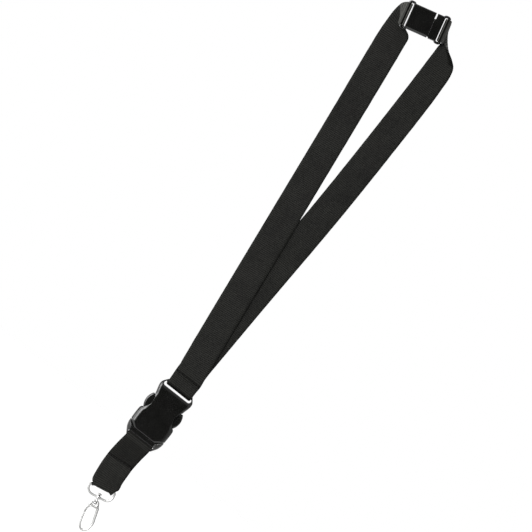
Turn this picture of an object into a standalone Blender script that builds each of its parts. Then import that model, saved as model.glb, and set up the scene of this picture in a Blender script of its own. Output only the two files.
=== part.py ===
"""Neck lanyard with a safety breakaway, a side-release buckle and a swivel hook.

The lanyard hangs along +Z, its front faces -Y and +X is to the right. The origin is the centre of
the buckle's flat back face. Lengths in this file are in millimetres and are scaled when a mesh is made.
"""

import math

import bmesh
import bpy
from mathutils import Matrix, Vector

MM = 0.001

# Webbing
WEB_WIDTH = 25.0
WEB_THICK = 1.1
BAR_CLEAR = 0.5
THREAD_RADIUS = 0.17
THREAD_LIFT = 0.12
STITCH_PITCH = 2.6

# Neck straps
SEAM_Z = 39.0
LEG_TILT = 7.25
LEG_LENGTH = 335.0
STRAP_SPLIT_X = 5.9
STRAP_SPLIT_Z = 350.0
STRAP_SPLIT_GAP = 0.3

# Safety breakaway
BREAKAWAY_AT = (-28.3, -8.0, 399.0)
BREAKAWAY_TILT = 14.0
BREAKAWAY_HALF_WIDTH = 11.3
BREAKAWAY_HALF_THICK = 3.5
BREAKAWAY_NECK = 14.0
SPLIT_U = 6.1
HUB_BAR_U = 17.9
HUB_BAR_RADIUS = 1.3
HUB_RING_HALF_THICK = 1.4
HUB_HALF_LENGTH = 12.85
HUB_SLOT_HALF = 10.8
HUB_WRAP_HALF = 10.2
HUB_WRAP_CLEAR = 0.4
HUB_WRAP_ANGLES = (60, 30, 0, -45, -90, -125, -150, -180)
TONGUE_LOW = -9.7
TONGUE_HIGH = 5.9
TONGUE_REACH = 12.5
TONGUE_HALF_THICK = 1.6

# Side-release buckle
BUCKLE_Y = -5.0
CORNER_LOW = 4.4
CORNER_HIGH = 2.8
MOUTH_Z = -21.2
FRAME_BAR_Z = 27.4
MALE_BAR_Z = -27.95
BUCKLE_BAR_RADIUS = 1.4
BAR_HALF_LENGTH = 13.5
SLOT_HALF = 14.0
SLOT_LOW_Z = 22.4
SLOT_CORNER = 2.0
SLOT_TOP_HALF = 12.95
MOUTH_HALF = 13.2
MOUTH_SLOPE = 0.82
CAVITY_HALF_THICK = 3.3
MALE_SLOT_HALF = 13.0
LIP_INNER = 3.25
LIP_OUTER = 3.9
WINDOW_CENTRE = (22.1, 5.5)
WINDOW_RADIUS = 10.3
ARM_ROOT = (12.9, -17.5)
ARM_ROOT_RADIUS = 1.3
ARM_HALF_THICK = 2.9
STEM_HALF_THICK = 1.9
PAD_CENTRE = (5.6, 4.6)
PAD_RADIUS = 12.4

# Hook
RING_AT = (0.25, -5.0, -77.36)
SWIVEL_AT = (2.0, -5.0, -86.8)
HOOK_TILT = 10.5
RING_WIRE = 0.9
RING_HALF_WIDTH = 11.4
RING_DEPTH = 9.6
RING_STRAP_HALF = 10.1
RING_CLEAR = 0.4
STUD_RADIUS = 0.85
GATE_PIN_AT = (-3.0, -8.6)
GATE_PIN_RADIUS = 0.6
FIT_GAP = 0.15

Y_AXIS = Vector((0.0, 1.0, 0.0))


def clear_scene():
    for obj in list(bpy.data.objects):
        bpy.data.objects.remove(obj, do_unlink=True)


def make_material(name, colour, roughness, metallic):
    material = bpy.data.materials.new(name)
    material.use_nodes = True
    shader = material.node_tree.nodes["Principled BSDF"]
    shader.inputs["Base Color"].default_value = (*colour, 1.0)
    shader.inputs["Roughness"].default_value = roughness
    shader.inputs["Metallic"].default_value = metallic
    return material


def frame_at(at, tilt=0.0):
    """A frame at a point of the lanyard, its X axis raised by tilt degrees towards +Z."""
    turn = Matrix.Rotation(math.radians(-tilt), 4, "Y")
    return Matrix.Translation(Vector(at) * MM) @ turn


def add_pivot(name, frame, parent=None):
    """An empty on a joint's axis."""
    pivot = bpy.data.objects.new(name, None)
    bpy.context.collection.objects.link(pivot)
    pivot.empty_display_size = 5.0 * MM
    pivot["frame"] = [value for row in frame for value in row]
    pivot.parent = parent
    pivot.matrix_basis = pivot_frame(parent).inverted() @ frame
    return pivot


def pivot_frame(pivot):
    if pivot is None:
        return Matrix.Identity(4)
    values = list(pivot["frame"])
    return Matrix([values[row * 4 : row * 4 + 4] for row in range(4)])


def add_mesh(name, shape, material, frame, pivot, sharp=35.0):
    """An object from (vertices, faces) drawn in its own frame, held by a pivot."""
    vertices, faces = shape
    mesh = bpy.data.meshes.new(name)
    mesh.from_pydata([Vector(v) * MM for v in vertices], [], faces)
    bm = bmesh.new()
    bm.from_mesh(mesh)
    bmesh.ops.recalc_face_normals(bm, faces=bm.faces)
    bm.to_mesh(mesh)
    bm.free()
    mesh.shade_smooth()
    mesh.set_sharp_from_angle(angle=math.radians(sharp))
    if material:
        mesh.materials.append(material)
    obj = bpy.data.objects.new(name, mesh)
    bpy.context.collection.objects.link(obj)
    obj.parent = pivot
    obj.matrix_basis = pivot_frame(pivot).inverted() @ frame
    return obj


def add_tool(name, shape, like):
    """A hidden shape, in the same frame as another object, for a Boolean."""
    tool = add_mesh(name, shape, None, Matrix.Identity(4), None)
    tool.parent = like.parent
    tool.matrix_basis = like.matrix_basis
    tool.hide_render = True
    tool.display_type = "WIRE"
    return tool


def boolean(obj, tool, operation):
    modifier = obj.modifiers.new(tool.name, "BOOLEAN")
    modifier.operation = operation
    modifier.object = tool


def cut(obj, name, shape):
    boolean(obj, add_tool(name, shape, obj), "DIFFERENCE")


def join(obj, name, shape):
    boolean(obj, add_tool(name, shape, obj), "UNION")


def loft(rings, closed=False):
    """Faces between rings of equal length, capped at both ends unless the path is closed."""
    count = len(rings[0])
    vertices = [point for ring in rings for point in ring]
    spans = len(rings) if closed else len(rings) - 1
    faces = []
    for i in range(spans):
        low = i * count
        high = (i + 1) % len(rings) * count
        for k in range(count):
            nxt = (k + 1) % count
            faces.append((low + k, low + nxt, high + nxt, high + k))
    if not closed:
        faces.append(tuple(range(count)))
        faces.append(tuple(range(len(vertices) - count, len(vertices))))
    return vertices, faces


def prism(outline, low_y, high_y):
    """An outline in the XZ plane, extruded along Y."""
    return loft([[(x, y, z) for x, z in outline] for y in (low_y, high_y)])


def inset(outline, distance):
    """A convex or gently hollow outline moved inwards."""
    area = 0.0
    for (x0, z0), (x1, z1) in zip(outline, outline[1:] + outline[:1]):
        area += x0 * z1 - x1 * z0
    turn = 1.0 if area > 0.0 else -1.0
    moved = []
    for i, point in enumerate(outline):
        here = Vector(point)
        before = (here - Vector(outline[i - 1])).normalized()
        after = (Vector(outline[(i + 1) % len(outline)]) - here).normalized()
        side_a = Vector((-before.y, before.x)) * turn
        side_b = Vector((-after.y, after.x)) * turn
        corner = here + (side_a + side_b) * distance / (1.0 + side_a.dot(side_b))
        moved.append((corner.x, corner.y))
    return moved


def plate(outline, half_thick, edge, steps=2):
    """An outline in the XZ plane given thickness, with its edges rounded."""
    rings = []
    for side in (-1.0, 1.0):
        turned_edge = []
        for i in range(steps + 1):
            angle = math.radians(90.0 * i / steps)
            y = half_thick - edge * (1.0 - math.cos(angle))
            ring = inset(outline, edge * (1.0 - math.sin(angle)))
            turned_edge.append([(x, side * y, z) for x, z in ring])
        rings += turned_edge if side < 0.0 else turned_edge[::-1]
    return loft(rings)


def box(low, high):
    outline = [(low[0], low[2]), (high[0], low[2]), (high[0], high[2]), (low[0], high[2])]
    return prism(outline, low[1], high[1])


def arc(centre, radius, start, end, steps):
    """Points on a circle in the XZ plane, angles in degrees from +X towards +Z."""
    points = []
    for i in range(steps + 1):
        angle = math.radians(start + (end - start) * i / steps)
        points.append((centre[0] + radius * math.cos(angle), centre[1] + radius * math.sin(angle)))
    return points


def rounded_box(low_x, low_z, high_x, high_z, radius, steps=4):
    """A rectangle in the XZ plane with round corners."""
    corners = [
        (high_x - radius, high_z - radius, 0.0),
        (low_x + radius, high_z - radius, 90.0),
        (low_x + radius, low_z + radius, 180.0),
        (high_x - radius, low_z + radius, 270.0),
    ]
    outline = []
    for x, z, start in corners:
        outline += arc((x, z), radius, start, start + 90.0, steps)
    return outline


def disc(centre, radius, half_thick, steps=32):
    return prism(arc(centre, radius, 0.0, 360.0 - 360.0 / steps, steps - 1), -half_thick, half_thick)


def turned(profile, steps=20):
    """A profile of (radius, z) turned about the Z axis."""
    rings = []
    for radius, z in profile:
        ring = []
        for i in range(steps):
            angle = 2.0 * math.pi * i / steps
            ring.append((radius * math.cos(angle), radius * math.sin(angle), z))
        rings.append(ring)
    return loft(rings)


def rod_along_x(half_length, radius, z, steps=20, edge=0.6):
    """A round bar with eased ends."""
    rings = []
    for x, r in (
        (-half_length, radius - edge),
        (-half_length + edge, radius),
        (half_length - edge, radius),
        (half_length, radius - edge),
    ):
        ring = []
        for i in range(steps):
            angle = 2.0 * math.pi * i / steps
            ring.append((x, r * math.cos(angle), z + r * math.sin(angle)))
        rings.append(ring)
    return loft(rings)


def sweep(path, radii, reference, sides=8, closed=False):
    """A tube on a path. radii holds (radius in the plane, radius along the reference) per point."""
    rings = []
    for i, point in enumerate(path):
        before = path[i - 1] if closed or i > 0 else point
        after = path[(i + 1) % len(path)] if closed or i < len(path) - 1 else point
        tangent = (after - before).normalized()
        up = (reference - tangent * reference.dot(tangent)).normalized()
        side = tangent.cross(up)
        flat, tall = radii[i]
        ring = []
        for k in range(sides):
            angle = 2.0 * math.pi * k / sides
            ring.append(point + side * flat * math.cos(angle) + up * tall * math.sin(angle))
        rings.append(ring)
    return loft(rings, closed)


def catmull(points, steps):
    """A centripetal Catmull-Rom curve through points of any dimension."""
    points = [Vector(p) for p in points]
    padded = [points[0] * 2.0 - points[1]] + points + [points[-1] * 2.0 - points[-2]]
    curve = []
    for i in range(len(points) - 1):
        a, b, c, d = padded[i : i + 4]
        t1 = math.sqrt((b - a).length)
        t2 = t1 + math.sqrt((c - b).length)
        t3 = t2 + math.sqrt((d - c).length)
        for k in range(steps):
            t = t1 + (t2 - t1) * k / steps
            ab = a.lerp(b, t / t1)
            bc = b.lerp(c, (t - t1) / (t2 - t1))
            cd = c.lerp(d, (t - t2) / (t3 - t2))
            abc = ab.lerp(bc, t / t2)
            bcd = bc.lerp(cd, (t - t1) / (t3 - t1))
            curve.append(abc.lerp(bcd, (t - t1) / (t2 - t1)))
    curve.append(points[-1])
    return curve


class Ribbon:
    """Webbing given by pairs of edge points, which the middle surface passes through."""

    def __init__(self, pairs, steps=3):
        self.steps = steps
        self.left = catmull([p for p, q in pairs], steps)
        self.right = catmull([q for p, q in pairs], steps)

    def normal(self, index, share):
        last = len(self.left) - 1
        low, high = max(index - 1, 0), min(index + 1, last)
        along_left = (self.left[high] - self.left[low]).normalized()
        along_right = (self.right[high] - self.right[low]).normalized()
        along = along_left.lerp(along_right, share)
        across = self.right[index] - self.left[index]
        return along.cross(across).normalized()

    def shape(self):
        rings = []
        for i, (p, q) in enumerate(zip(self.left, self.right)):
            lift_p = self.normal(i, 0.0) * WEB_THICK / 2.0
            lift_q = self.normal(i, 1.0) * WEB_THICK / 2.0
            rings.append([p + lift_p, q + lift_q, q - lift_q, p - lift_p])
        return loft(rings)

    def seam(self, station, side, slant=0.0, margin=1.2):
        """A run of stitches across the webbing at a control station, on one side of it."""
        index = station * self.steps
        p, q = self.left[index], self.right[index]
        along = self.left[index + 1] - self.left[index - 1]
        along.normalize()
        width = (q - p).length
        skin_p = p + self.normal(index, 0.0) * side * WEB_THICK / 2.0
        skin_q = q + self.normal(index, 1.0) * side * WEB_THICK / 2.0
        waves = round((width - 2.0 * margin) / STITCH_PITCH)
        path = []
        for k in range(waves * 4 + 1):
            share = (margin + (width - 2.0 * margin) * k / (waves * 4)) / width
            wave = 0.5 - 0.5 * math.cos(2.0 * math.pi * k / 4)
            lift = THREAD_LIFT + THREAD_RADIUS * (1.0 + wave)
            point = skin_p.lerp(skin_q, share) + self.normal(index, share) * side * lift
            path.append(point + along * slant * (share - 0.5))
        normal = self.normal(index, 0.5)
        return sweep(path, [(THREAD_RADIUS, THREAD_RADIUS)] * len(path), normal, sides=5)


def breakaway_point(u, y, v):
    """A point of the breakaway's frame, in the lanyard's frame."""
    tilt = math.radians(BREAKAWAY_TILT)
    x = BREAKAWAY_AT[0] + u * math.cos(tilt) - v * math.sin(tilt)
    z = BREAKAWAY_AT[2] + u * math.sin(tilt) + v * math.cos(tilt)
    return (x, y, z)


def hub_wrap(side):
    """Edge pairs of the webbing round a breakaway bar, from its hidden end to the bar's outer side."""
    pairs = []
    radius = HUB_BAR_RADIUS + HUB_WRAP_CLEAR + WEB_THICK / 2.0
    for angle in HUB_WRAP_ANGLES:
        u = side * (HUB_BAR_U - radius * math.cos(math.radians(angle)))
        y = BREAKAWAY_AT[1] + radius * math.sin(math.radians(angle))
        top = breakaway_point(u, y, HUB_WRAP_HALF)
        bottom = breakaway_point(u, y, -HUB_WRAP_HALF)
        pairs.append((top, bottom))
    return pairs


def left_leg():
    """Edge pairs from the socket's bar down to the seam above the buckle."""
    turn = [
        ((-53.6, -5.4, 400.8), (-44.5, -4.9, 384.3)),
        ((-54.8, -3.7, 396.5), (-40.0, -3.3, 384.6)),
        ((-55.4, -3.0, 389.5), (-34.0, -3.0, 383.2)),
        ((-55.1, -3.0, 380.0), (-30.8, -3.0, 379.8)),
    ]
    tilt = math.radians(LEG_TILT)
    along = Vector((-math.sin(tilt), 0.0, math.cos(tilt)))
    across = Vector((math.cos(tilt), 0.0, math.sin(tilt))) * WEB_WIDTH / 2.0
    foot = Vector((0.25, 0.0, SEAM_Z))
    straight = []
    for length, y in ((LEG_LENGTH, -3.0), (250.0, -3.7), (130.0, -4.9), (40.0, -5.6), (12.0, -5.7)):
        centre = foot + along * length + Y_AXIS * y
        straight.append((centre - across, centre + across))
    return turn + straight


def frame_loop():
    """Edge pairs round the buckle's slot bar, from the front of the seam to its back."""
    radius = BUCKLE_BAR_RADIUS + BAR_CLEAR + WEB_THICK / 2.0
    half = WEB_WIDTH / 2.0
    rows = [(SEAM_Z, -5.75, 0.25), (33.0, -6.7, 0.15)]
    for angle in (180, 225, 270, 315, 360):
        z = FRAME_BAR_Z + radius * math.sin(math.radians(angle))
        y = BUCKLE_Y + radius * math.cos(math.radians(angle))
        rows.append((z, y, 0.15))
    rows += [(33.0, -3.3, -0.1), (SEAM_Z, -4.3, -0.5)]
    return [((x - half, y, z), (x + half, y, z)) for z, y, x in rows]


def right_leg_low():
    """Edge pairs from the seam up to the place where the webbing's plug end takes over."""
    rows = [(52.0, -4.2, -0.8), (120.0, -3.8, 1.3), (225.0, -3.2, 5.1), (300.0, -3.0, 6.0)]
    rows.append((STRAP_SPLIT_Z - STRAP_SPLIT_GAP, -3.0, STRAP_SPLIT_X))
    half = WEB_WIDTH / 2.0
    return [((x - half, y, z), (x + half, y, z)) for z, y, x in rows]


def right_leg_high():
    """Edge pairs from the split up to the plug's bar; the first edge is the left one."""
    half = WEB_WIDTH / 2.0
    return [
        ((STRAP_SPLIT_X - half, -3.0, STRAP_SPLIT_Z), (STRAP_SPLIT_X + half, -3.0, STRAP_SPLIT_Z)),
        ((-6.75, -3.0, 364.0), (17.8, -3.0, 364.0)),
        ((-6.9, -3.0, 374.0), (17.0, -3.0, 375.5)),
        ((-7.0, -3.0, 382.0), (14.4, -3.0, 383.8)),
        ((-7.1, -3.0, 387.0), (9.0, -3.1, 388.6)),
        ((-7.2, -3.1, 390.0), (2.6, -3.4, 392.6)),
        ((-6.9, -3.5, 391.8), (-3.2, -4.2, 398.4)),
        ((-5.6, -4.9, 393.2), (-8.5, -5.6, 406.4)),
    ]


def neck_straps(web, thread, root, plug):
    world = frame_at((0.0, 0.0, 0.0))
    socket_wrap = hub_wrap(-1.0)
    descent = left_leg()
    loop = frame_loop()
    ribbon = Ribbon(socket_wrap + descent + loop + right_leg_low())
    add_mesh("neck_strap", ribbon.shape(), web, world, root)
    front_seam = len(socket_wrap) + len(descent)
    back_seam = front_seam + len(loop) - 1
    add_mesh("neck_seam_thread", ribbon.seam(front_seam, 1.0), thread, world, root)
    add_mesh("neck_seam_bobbin", ribbon.seam(back_seam, 1.0), thread, world, root)
    socket_seam = len(socket_wrap) + 2
    add_mesh("socket_seam_thread", ribbon.seam(socket_seam, -1.0), thread, world, root)

    climb = right_leg_high()
    plug_wrap = [(bottom, top) for top, bottom in reversed(hub_wrap(1.0))]
    plug_ribbon = Ribbon(climb + plug_wrap)
    add_mesh("neck_strap_plug_end", plug_ribbon.shape(), web, world, plug)
    plug_seam = len(climb) - 5
    add_mesh("plug_seam_thread", plug_ribbon.seam(plug_seam, 1.0), thread, world, plug)


def hub_ring(side):
    low, high = sorted((side * (BREAKAWAY_NECK - 1.2), side * (HUB_BAR_U + HUB_BAR_RADIUS)))
    outline = rounded_box(low, -HUB_HALF_LENGTH, high, HUB_HALF_LENGTH, 2.6)
    return plate(outline, HUB_RING_HALF_THICK, 0.95)


def hub_slot(side):
    low, high = sorted((side * BREAKAWAY_NECK, side * (HUB_BAR_U - 0.2)))
    outline = rounded_box(low, -HUB_SLOT_HALF, high, HUB_SLOT_HALF, 1.2)
    return prism(outline, -BREAKAWAY_HALF_THICK - 1.0, BREAKAWAY_HALF_THICK + 1.0)


def hub_bar(side):
    """The round bar that the webbing is wrapped on."""
    reach = HUB_SLOT_HALF + 0.9
    vertices, faces = turned([(HUB_BAR_RADIUS, -reach), (HUB_BAR_RADIUS, reach)])
    return [(x + side * HUB_BAR_U, y, z) for x, y, z in vertices], faces


def breakaway_socket(plastic, frame, root):
    half = BREAKAWAY_HALF_WIDTH
    thick = BREAKAWAY_HALF_THICK
    outline = rounded_box(-BREAKAWAY_NECK, -half, SPLIT_U + 3.0, half, 1.2, 3)
    socket = add_mesh("breakaway_socket", plate(outline, thick, 1.0), plastic, frame, root)
    cut(socket, "socket_split", box((SPLIT_U, -5.0, -13.0), (SPLIT_U + 4.0, 5.0, 13.0)))
    for side, name in ((-1.0, "front"), (1.0, "back")):
        corner = [(side * 3.7, -9.3), (side * 1.5, -11.5), (side * 5.0, -13.0)]
        chamfer = loft([[(u, y, v) for y, v in corner] for u in (-13.0, SPLIT_U + 1.0)])
        cut(socket, "socket_chamfer_" + name, chamfer)
    join(socket, "socket_hub", hub_ring(-1.0))
    cut(socket, "socket_slot", hub_slot(-1.0))
    join(socket, "socket_bar", hub_bar(-1.0))
    pocket_low = (SPLIT_U - TONGUE_REACH - 1.0, -TONGUE_HALF_THICK - 0.3, TONGUE_LOW - 0.3)
    pocket_high = (SPLIT_U + 2.0, TONGUE_HALF_THICK + 0.3, TONGUE_HIGH + 0.3)
    cut(socket, "socket_pocket", box(pocket_low, pocket_high))


def breakaway_plug(plastic, frame, plug):
    half = BREAKAWAY_HALF_WIDTH
    thick = BREAKAWAY_HALF_THICK - 0.1
    start = SPLIT_U + 0.3
    outline = rounded_box(start - 3.0, -half, BREAKAWAY_NECK, half, 1.2, 3)
    body = add_mesh("breakaway_plug", plate(outline, thick, 1.0), plastic, frame, plug)
    cut(body, "plug_split", box((start - 4.0, -5.0, -13.0), (start, 5.0, 13.0)))
    join(body, "plug_hub", hub_ring(1.0))
    cut(body, "plug_slot", hub_slot(1.0))
    join(body, "plug_bar", hub_bar(1.0))
    tip = SPLIT_U - TONGUE_REACH
    middle = (TONGUE_LOW + TONGUE_HIGH) / 2.0
    tongue = rounded_box(tip, TONGUE_LOW, start + 2.0, TONGUE_HIGH, 1.2, 3)
    join(body, "plug_tongue", prism(tongue, -TONGUE_HALF_THICK, TONGUE_HALF_THICK))
    relief = rounded_box(tip - 2.0, middle - 1.2, SPLIT_U - 2.0, middle + 1.2, 1.1)
    cut(body, "plug_relief", prism(relief, -4.0, 4.0))
    cut(body, "plug_notch_top", box((start - 1.0, -5.0, TONGUE_HIGH + 0.4), (start + 1.0, 5.0, 13.0)))
    cut(body, "plug_notch_low", box((start - 1.0, -5.0, -13.0), (start + 1.0, 5.0, -10.3)))


def section(z, half_width, half_thick):
    """A rounded rectangle across the buckle at height z, rounder at the wide end than at the bar."""
    share = min(max((z - 2.0) / 6.0, 0.0), 1.0)
    radius = min(CORNER_LOW + (CORNER_HIGH - CORNER_LOW) * share, half_thick * 0.88)
    outline = rounded_box(-half_width, -half_thick, half_width, half_thick, radius, 4)
    return [(x, y, z) for x, y in outline]


def buckle_female(plastic, frame, pivot):
    """Housing: (height, half width, half thickness) from the mouth to the slot bar."""
    stations = [
        (MOUTH_Z, MOUTH_HALF, 4.95),
        (-20.3, 14.3, 5.0),
        (-19.32, 15.5, 5.0),
        (-18.33, 16.7, 5.0),
        (-17.5, 17.5, 5.0),
        (-14.0, 17.8, 5.0),
        (-7.0, 17.8, 5.0),
        (-4.5, 17.5, 5.0),
        (-2.8, 16.6, 5.0),
        (5.0, 15.6, 5.0),
        (10.0, 14.8, 5.0),
        (13.5, 14.7, 4.95),
        (17.0, 15.6, 4.8),
        (20.5, 16.4, 4.5),
        (23.5, 16.3, 3.6),
        (25.2, 15.5, 2.8),
        (26.6, 14.5, 2.2),
        (28.0, 13.4, 1.4),
    ]
    housing = loft([section(*station) for station in stations])
    female = add_mesh("buckle_female", housing, plastic, frame, pivot)
    cavity = [(-15.7, -24.0), (15.7, -24.0), (15.7, -3.2), (15.4, 12.6), (9.0, 13.2)]
    cavity += [(-9.0, 13.2), (-15.4, 12.6), (-15.7, -3.2)]
    cut(female, "female_cavity", prism(cavity, -CAVITY_HALF_THICK, CAVITY_HALF_THICK))
    for side, name in ((-1.0, "left"), (1.0, "right")):
        centre = (side * WINDOW_CENTRE[0], WINDOW_CENTRE[1])
        cut(female, "window_" + name, disc(centre, WINDOW_RADIUS, 8.0, 48))
    corner_x = SLOT_HALF - SLOT_CORNER
    corner_z = SLOT_LOW_Z + SLOT_CORNER
    slot = arc((-corner_x, corner_z), SLOT_CORNER, 180.0, 270.0, 4)
    slot += arc((corner_x, corner_z), SLOT_CORNER, 270.0, 360.0, 4)
    slot += [(SLOT_HALF, 25.2), (SLOT_TOP_HALF, 26.7), (SLOT_TOP_HALF, 34.0)]
    slot += [(-SLOT_TOP_HALF, 34.0), (-SLOT_TOP_HALF, 26.7), (-SLOT_HALF, 25.2)]
    cut(female, "female_slot", prism(slot, -8.0, 8.0))
    join(female, "female_bar", rod_along_x(BAR_HALF_LENGTH - 0.2, BUCKLE_BAR_RADIUS, FRAME_BAR_Z))


def buckle_male(plastic, frame, pivot):
    """Base whose horns carry on the housing's outline, the tab strap's bar and the centre guide."""
    stations = [
        (-28.5, 13.5, 2.4),
        (-27.6, 14.2, 3.5),
        (-26.2, 15.1, 4.3),
        (-24.4, 16.2, 4.7),
        (-22.4, 17.0, 4.85),
        (-20.0, 17.6, 4.9),
        (-17.0, 17.75, 4.9),
    ]
    male = add_mesh("buckle_male", loft([section(*station) for station in stations]), plastic, frame, pivot)
    low = MOUTH_Z - FIT_GAP * 2.0
    half = MOUTH_HALF + FIT_GAP
    reach = 6.0
    wide = half + reach
    mouth = [(-wide, -10.0), (-wide, low + reach * MOUTH_SLOPE), (-half, low)]
    mouth += [(-x, z) for x, z in reversed(mouth)]
    cut(male, "male_mouth", prism(mouth, -8.0, 8.0))
    recess = [(-13.0, -20.5), (13.0, -20.5), (12.3, -26.0), (-12.3, -26.0)]
    cut(male, "male_recess_front", prism(recess, -8.0, -LIP_OUTER))
    cut(male, "male_recess_back", prism(recess, LIP_OUTER, 8.0))
    slot = rounded_box(-MALE_SLOT_HALF, -34.0, MALE_SLOT_HALF, -24.5, 0.4, 2)
    cut(male, "male_slot", prism(slot, -LIP_INNER, LIP_INNER))
    opening = rounded_box(-MALE_SLOT_HALF, -34.0, MALE_SLOT_HALF, -25.35, 0.4, 2)
    cut(male, "male_opening", prism(opening, -8.0, 8.0))
    join(male, "male_bar", rod_along_x(BAR_HALF_LENGTH, BUCKLE_BAR_RADIUS, MALE_BAR_Z))
    bridge = rounded_box(-14.8, -23.0, 14.8, ARM_ROOT[1] - ARM_ROOT_RADIUS - 0.3, 0.6, 2)
    join(male, "male_bridge", prism(bridge, -ARM_HALF_THICK, ARM_HALF_THICK))
    guide = rounded_box(-4.2, -22.4, 4.2, 9.5, 2.4)
    join(male, "male_guide", plate(guide, 2.6, 0.5))


def buckle_arm(side, name, plastic, frame, pivot):
    """A spring arm with its press pad; the pad's lower step catches on the housing's side wall."""
    stem = arc(ARM_ROOT, ARM_ROOT_RADIUS, 180.0, 360.0, 6)
    stem += [(14.5, -11.0), (14.9, -5.0), (15.1, -2.7), (16.2, -1.6)]
    stem += [(16.2, 10.6), (13.0, 10.6), (11.6, 3.0), (11.6, -8.0)]
    pad = arc(PAD_CENTRE, PAD_RADIUS, -35.0, 37.0, 8)
    pad += [(12.8, 11.2), (10.9, 8.0), (10.5, 4.0), (11.3, -1.0)]
    stem = plate([(side * x, z) for x, z in stem], STEM_HALF_THICK, 0.4)
    arm = add_mesh(name, stem, plastic, frame, pivot)
    join(arm, name + "_pad", plate([(side * x, z) for x, z in pad], ARM_HALF_THICK, 1.5))


def tab_pairs():
    """Edge pairs of the tab loop: inner end, over the buckle's bar, down, round the ring, outer end."""
    half = WEB_WIDTH / 2.0
    rows = [(-57.0, -4.0, -1.9), (-51.0, -4.0, -2.1), (-40.0, -3.3, -1.4), (-33.0, -2.7, -0.7)]
    radius = BUCKLE_BAR_RADIUS + BAR_CLEAR + WEB_THICK / 2.0
    for angle in (0, 45, 90, 135, 180):
        z = MALE_BAR_Z + radius * math.sin(math.radians(angle))
        y = BUCKLE_Y + radius * math.cos(math.radians(angle))
        rows.append((z, y, 0.0))
    rows += [(-33.0, -7.0, -0.7), (-40.0, -6.2, -1.4), (-51.0, -5.4, -2.1), (-60.0, -5.6, -1.9)]
    rows += [(-67.0, -6.1, -1.2)]
    pairs = [((x - half, y, z), (x + half, y, z)) for z, y, x in rows]
    return pairs + ring_loop()


def ring_loop():
    """Edge pairs round the ring's straight bar, pinched to its inner width, and up the back."""
    radius = RING_WIRE + RING_CLEAR + WEB_THICK / 2.0
    tilt = math.radians(HOOK_TILT)
    run = Vector((math.cos(tilt), 0.0, math.sin(tilt))) * RING_STRAP_HALF
    wide = run * (WEB_WIDTH / 2.0 - 0.2) / RING_STRAP_HALF
    centre = Vector(RING_AT)
    pairs = []
    for drop, y, reach in ((3.2, -6.6, wide), (1.3, -6.8, run * 1.08)):
        point = centre + Vector((-0.3, y - centre.y, drop))
        pairs.append((tuple(point - reach), tuple(point + reach)))
    for angle in (180, 225, 270, 315, 360):
        turn = math.radians(angle)
        point = centre + Vector((0.0, radius * math.cos(turn), radius * math.sin(turn)))
        pairs.append((tuple(point - run), tuple(point + run)))
    half = WEB_WIDTH / 2.0
    for drop, y, reach in ((1.3, -3.1, run * 1.08), (3.2, -3.0, wide)):
        point = centre + Vector((-0.3, y - centre.y, drop))
        pairs.append((tuple(point - reach), tuple(point + reach)))
    for z, y, x in ((-65.0, -2.7, -1.4), (-57.0, -2.6, -1.9), (-51.0, -2.6, -2.1), (-46.0, -2.3, -1.9)):
        pairs.append(((x - half, y, z), (x + half, y, z)))
    return pairs


def tab_strap(web, thread, pivot):
    world = frame_at((0.0, 0.0, 0.0))
    pairs = tab_pairs()
    ribbon = Ribbon(pairs)
    add_mesh("tab_strap", ribbon.shape(), web, world, pivot)
    rows = [round(pair[0][2], 3) for pair in pairs]
    stations = [i for i, z in enumerate(rows) if z == -51.0]
    add_mesh("tab_seam_thread", ribbon.seam(stations[1], 1.0, slant=2.0), thread, world, pivot)
    add_mesh("tab_seam_bobbin", ribbon.seam(stations[2], 1.0, slant=2.0), thread, world, pivot)


def d_ring(metal, frame, pivot):
    """The straight bar, round lower corners and the swivel boss."""
    half = RING_HALF_WIDTH
    path = arc((half - 1.3, -1.3), 1.3, 0.0, 90.0, 3)
    path += arc((-half + 1.3, -1.3), 1.3, 90.0, 180.0, 3)
    path += arc((-half + 5.6, -RING_DEPTH + 5.6), 5.6, 180.0, 270.0, 6)
    path += arc((half - 5.6, -RING_DEPTH + 5.6), 5.6, 270.0, 360.0, 6)
    points = [Vector((x, 0.0, z)) for x, z in path]
    wire = sweep(points, [(RING_WIRE, RING_WIRE)] * len(points), Y_AXIS, sides=10, closed=True)
    ring = add_mesh("d_ring", wire, metal, frame, pivot, sharp=60.0)
    join(ring, "ring_boss", turned([(2.0, -RING_DEPTH - 1.3), (2.0, -RING_DEPTH + 1.3)]))
    radius = STUD_RADIUS + FIT_GAP + 0.1
    cut(ring, "ring_bore", turned([(radius, -RING_DEPTH - 3.0), (radius, -RING_DEPTH + 3.0)]))


def swivel_stud(metal, frame, pivot):
    profile = [(1.0, -6.5), (1.6, -6.0), (1.6, -5.1), (1.2, -4.6), (STUD_RADIUS, -4.5)]
    profile += [(STUD_RADIUS, 2.2), (1.75, 2.3), (1.75, 3.0), (1.1, 3.6)]
    add_mesh("swivel_stud", turned(profile), metal, frame, pivot)


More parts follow.
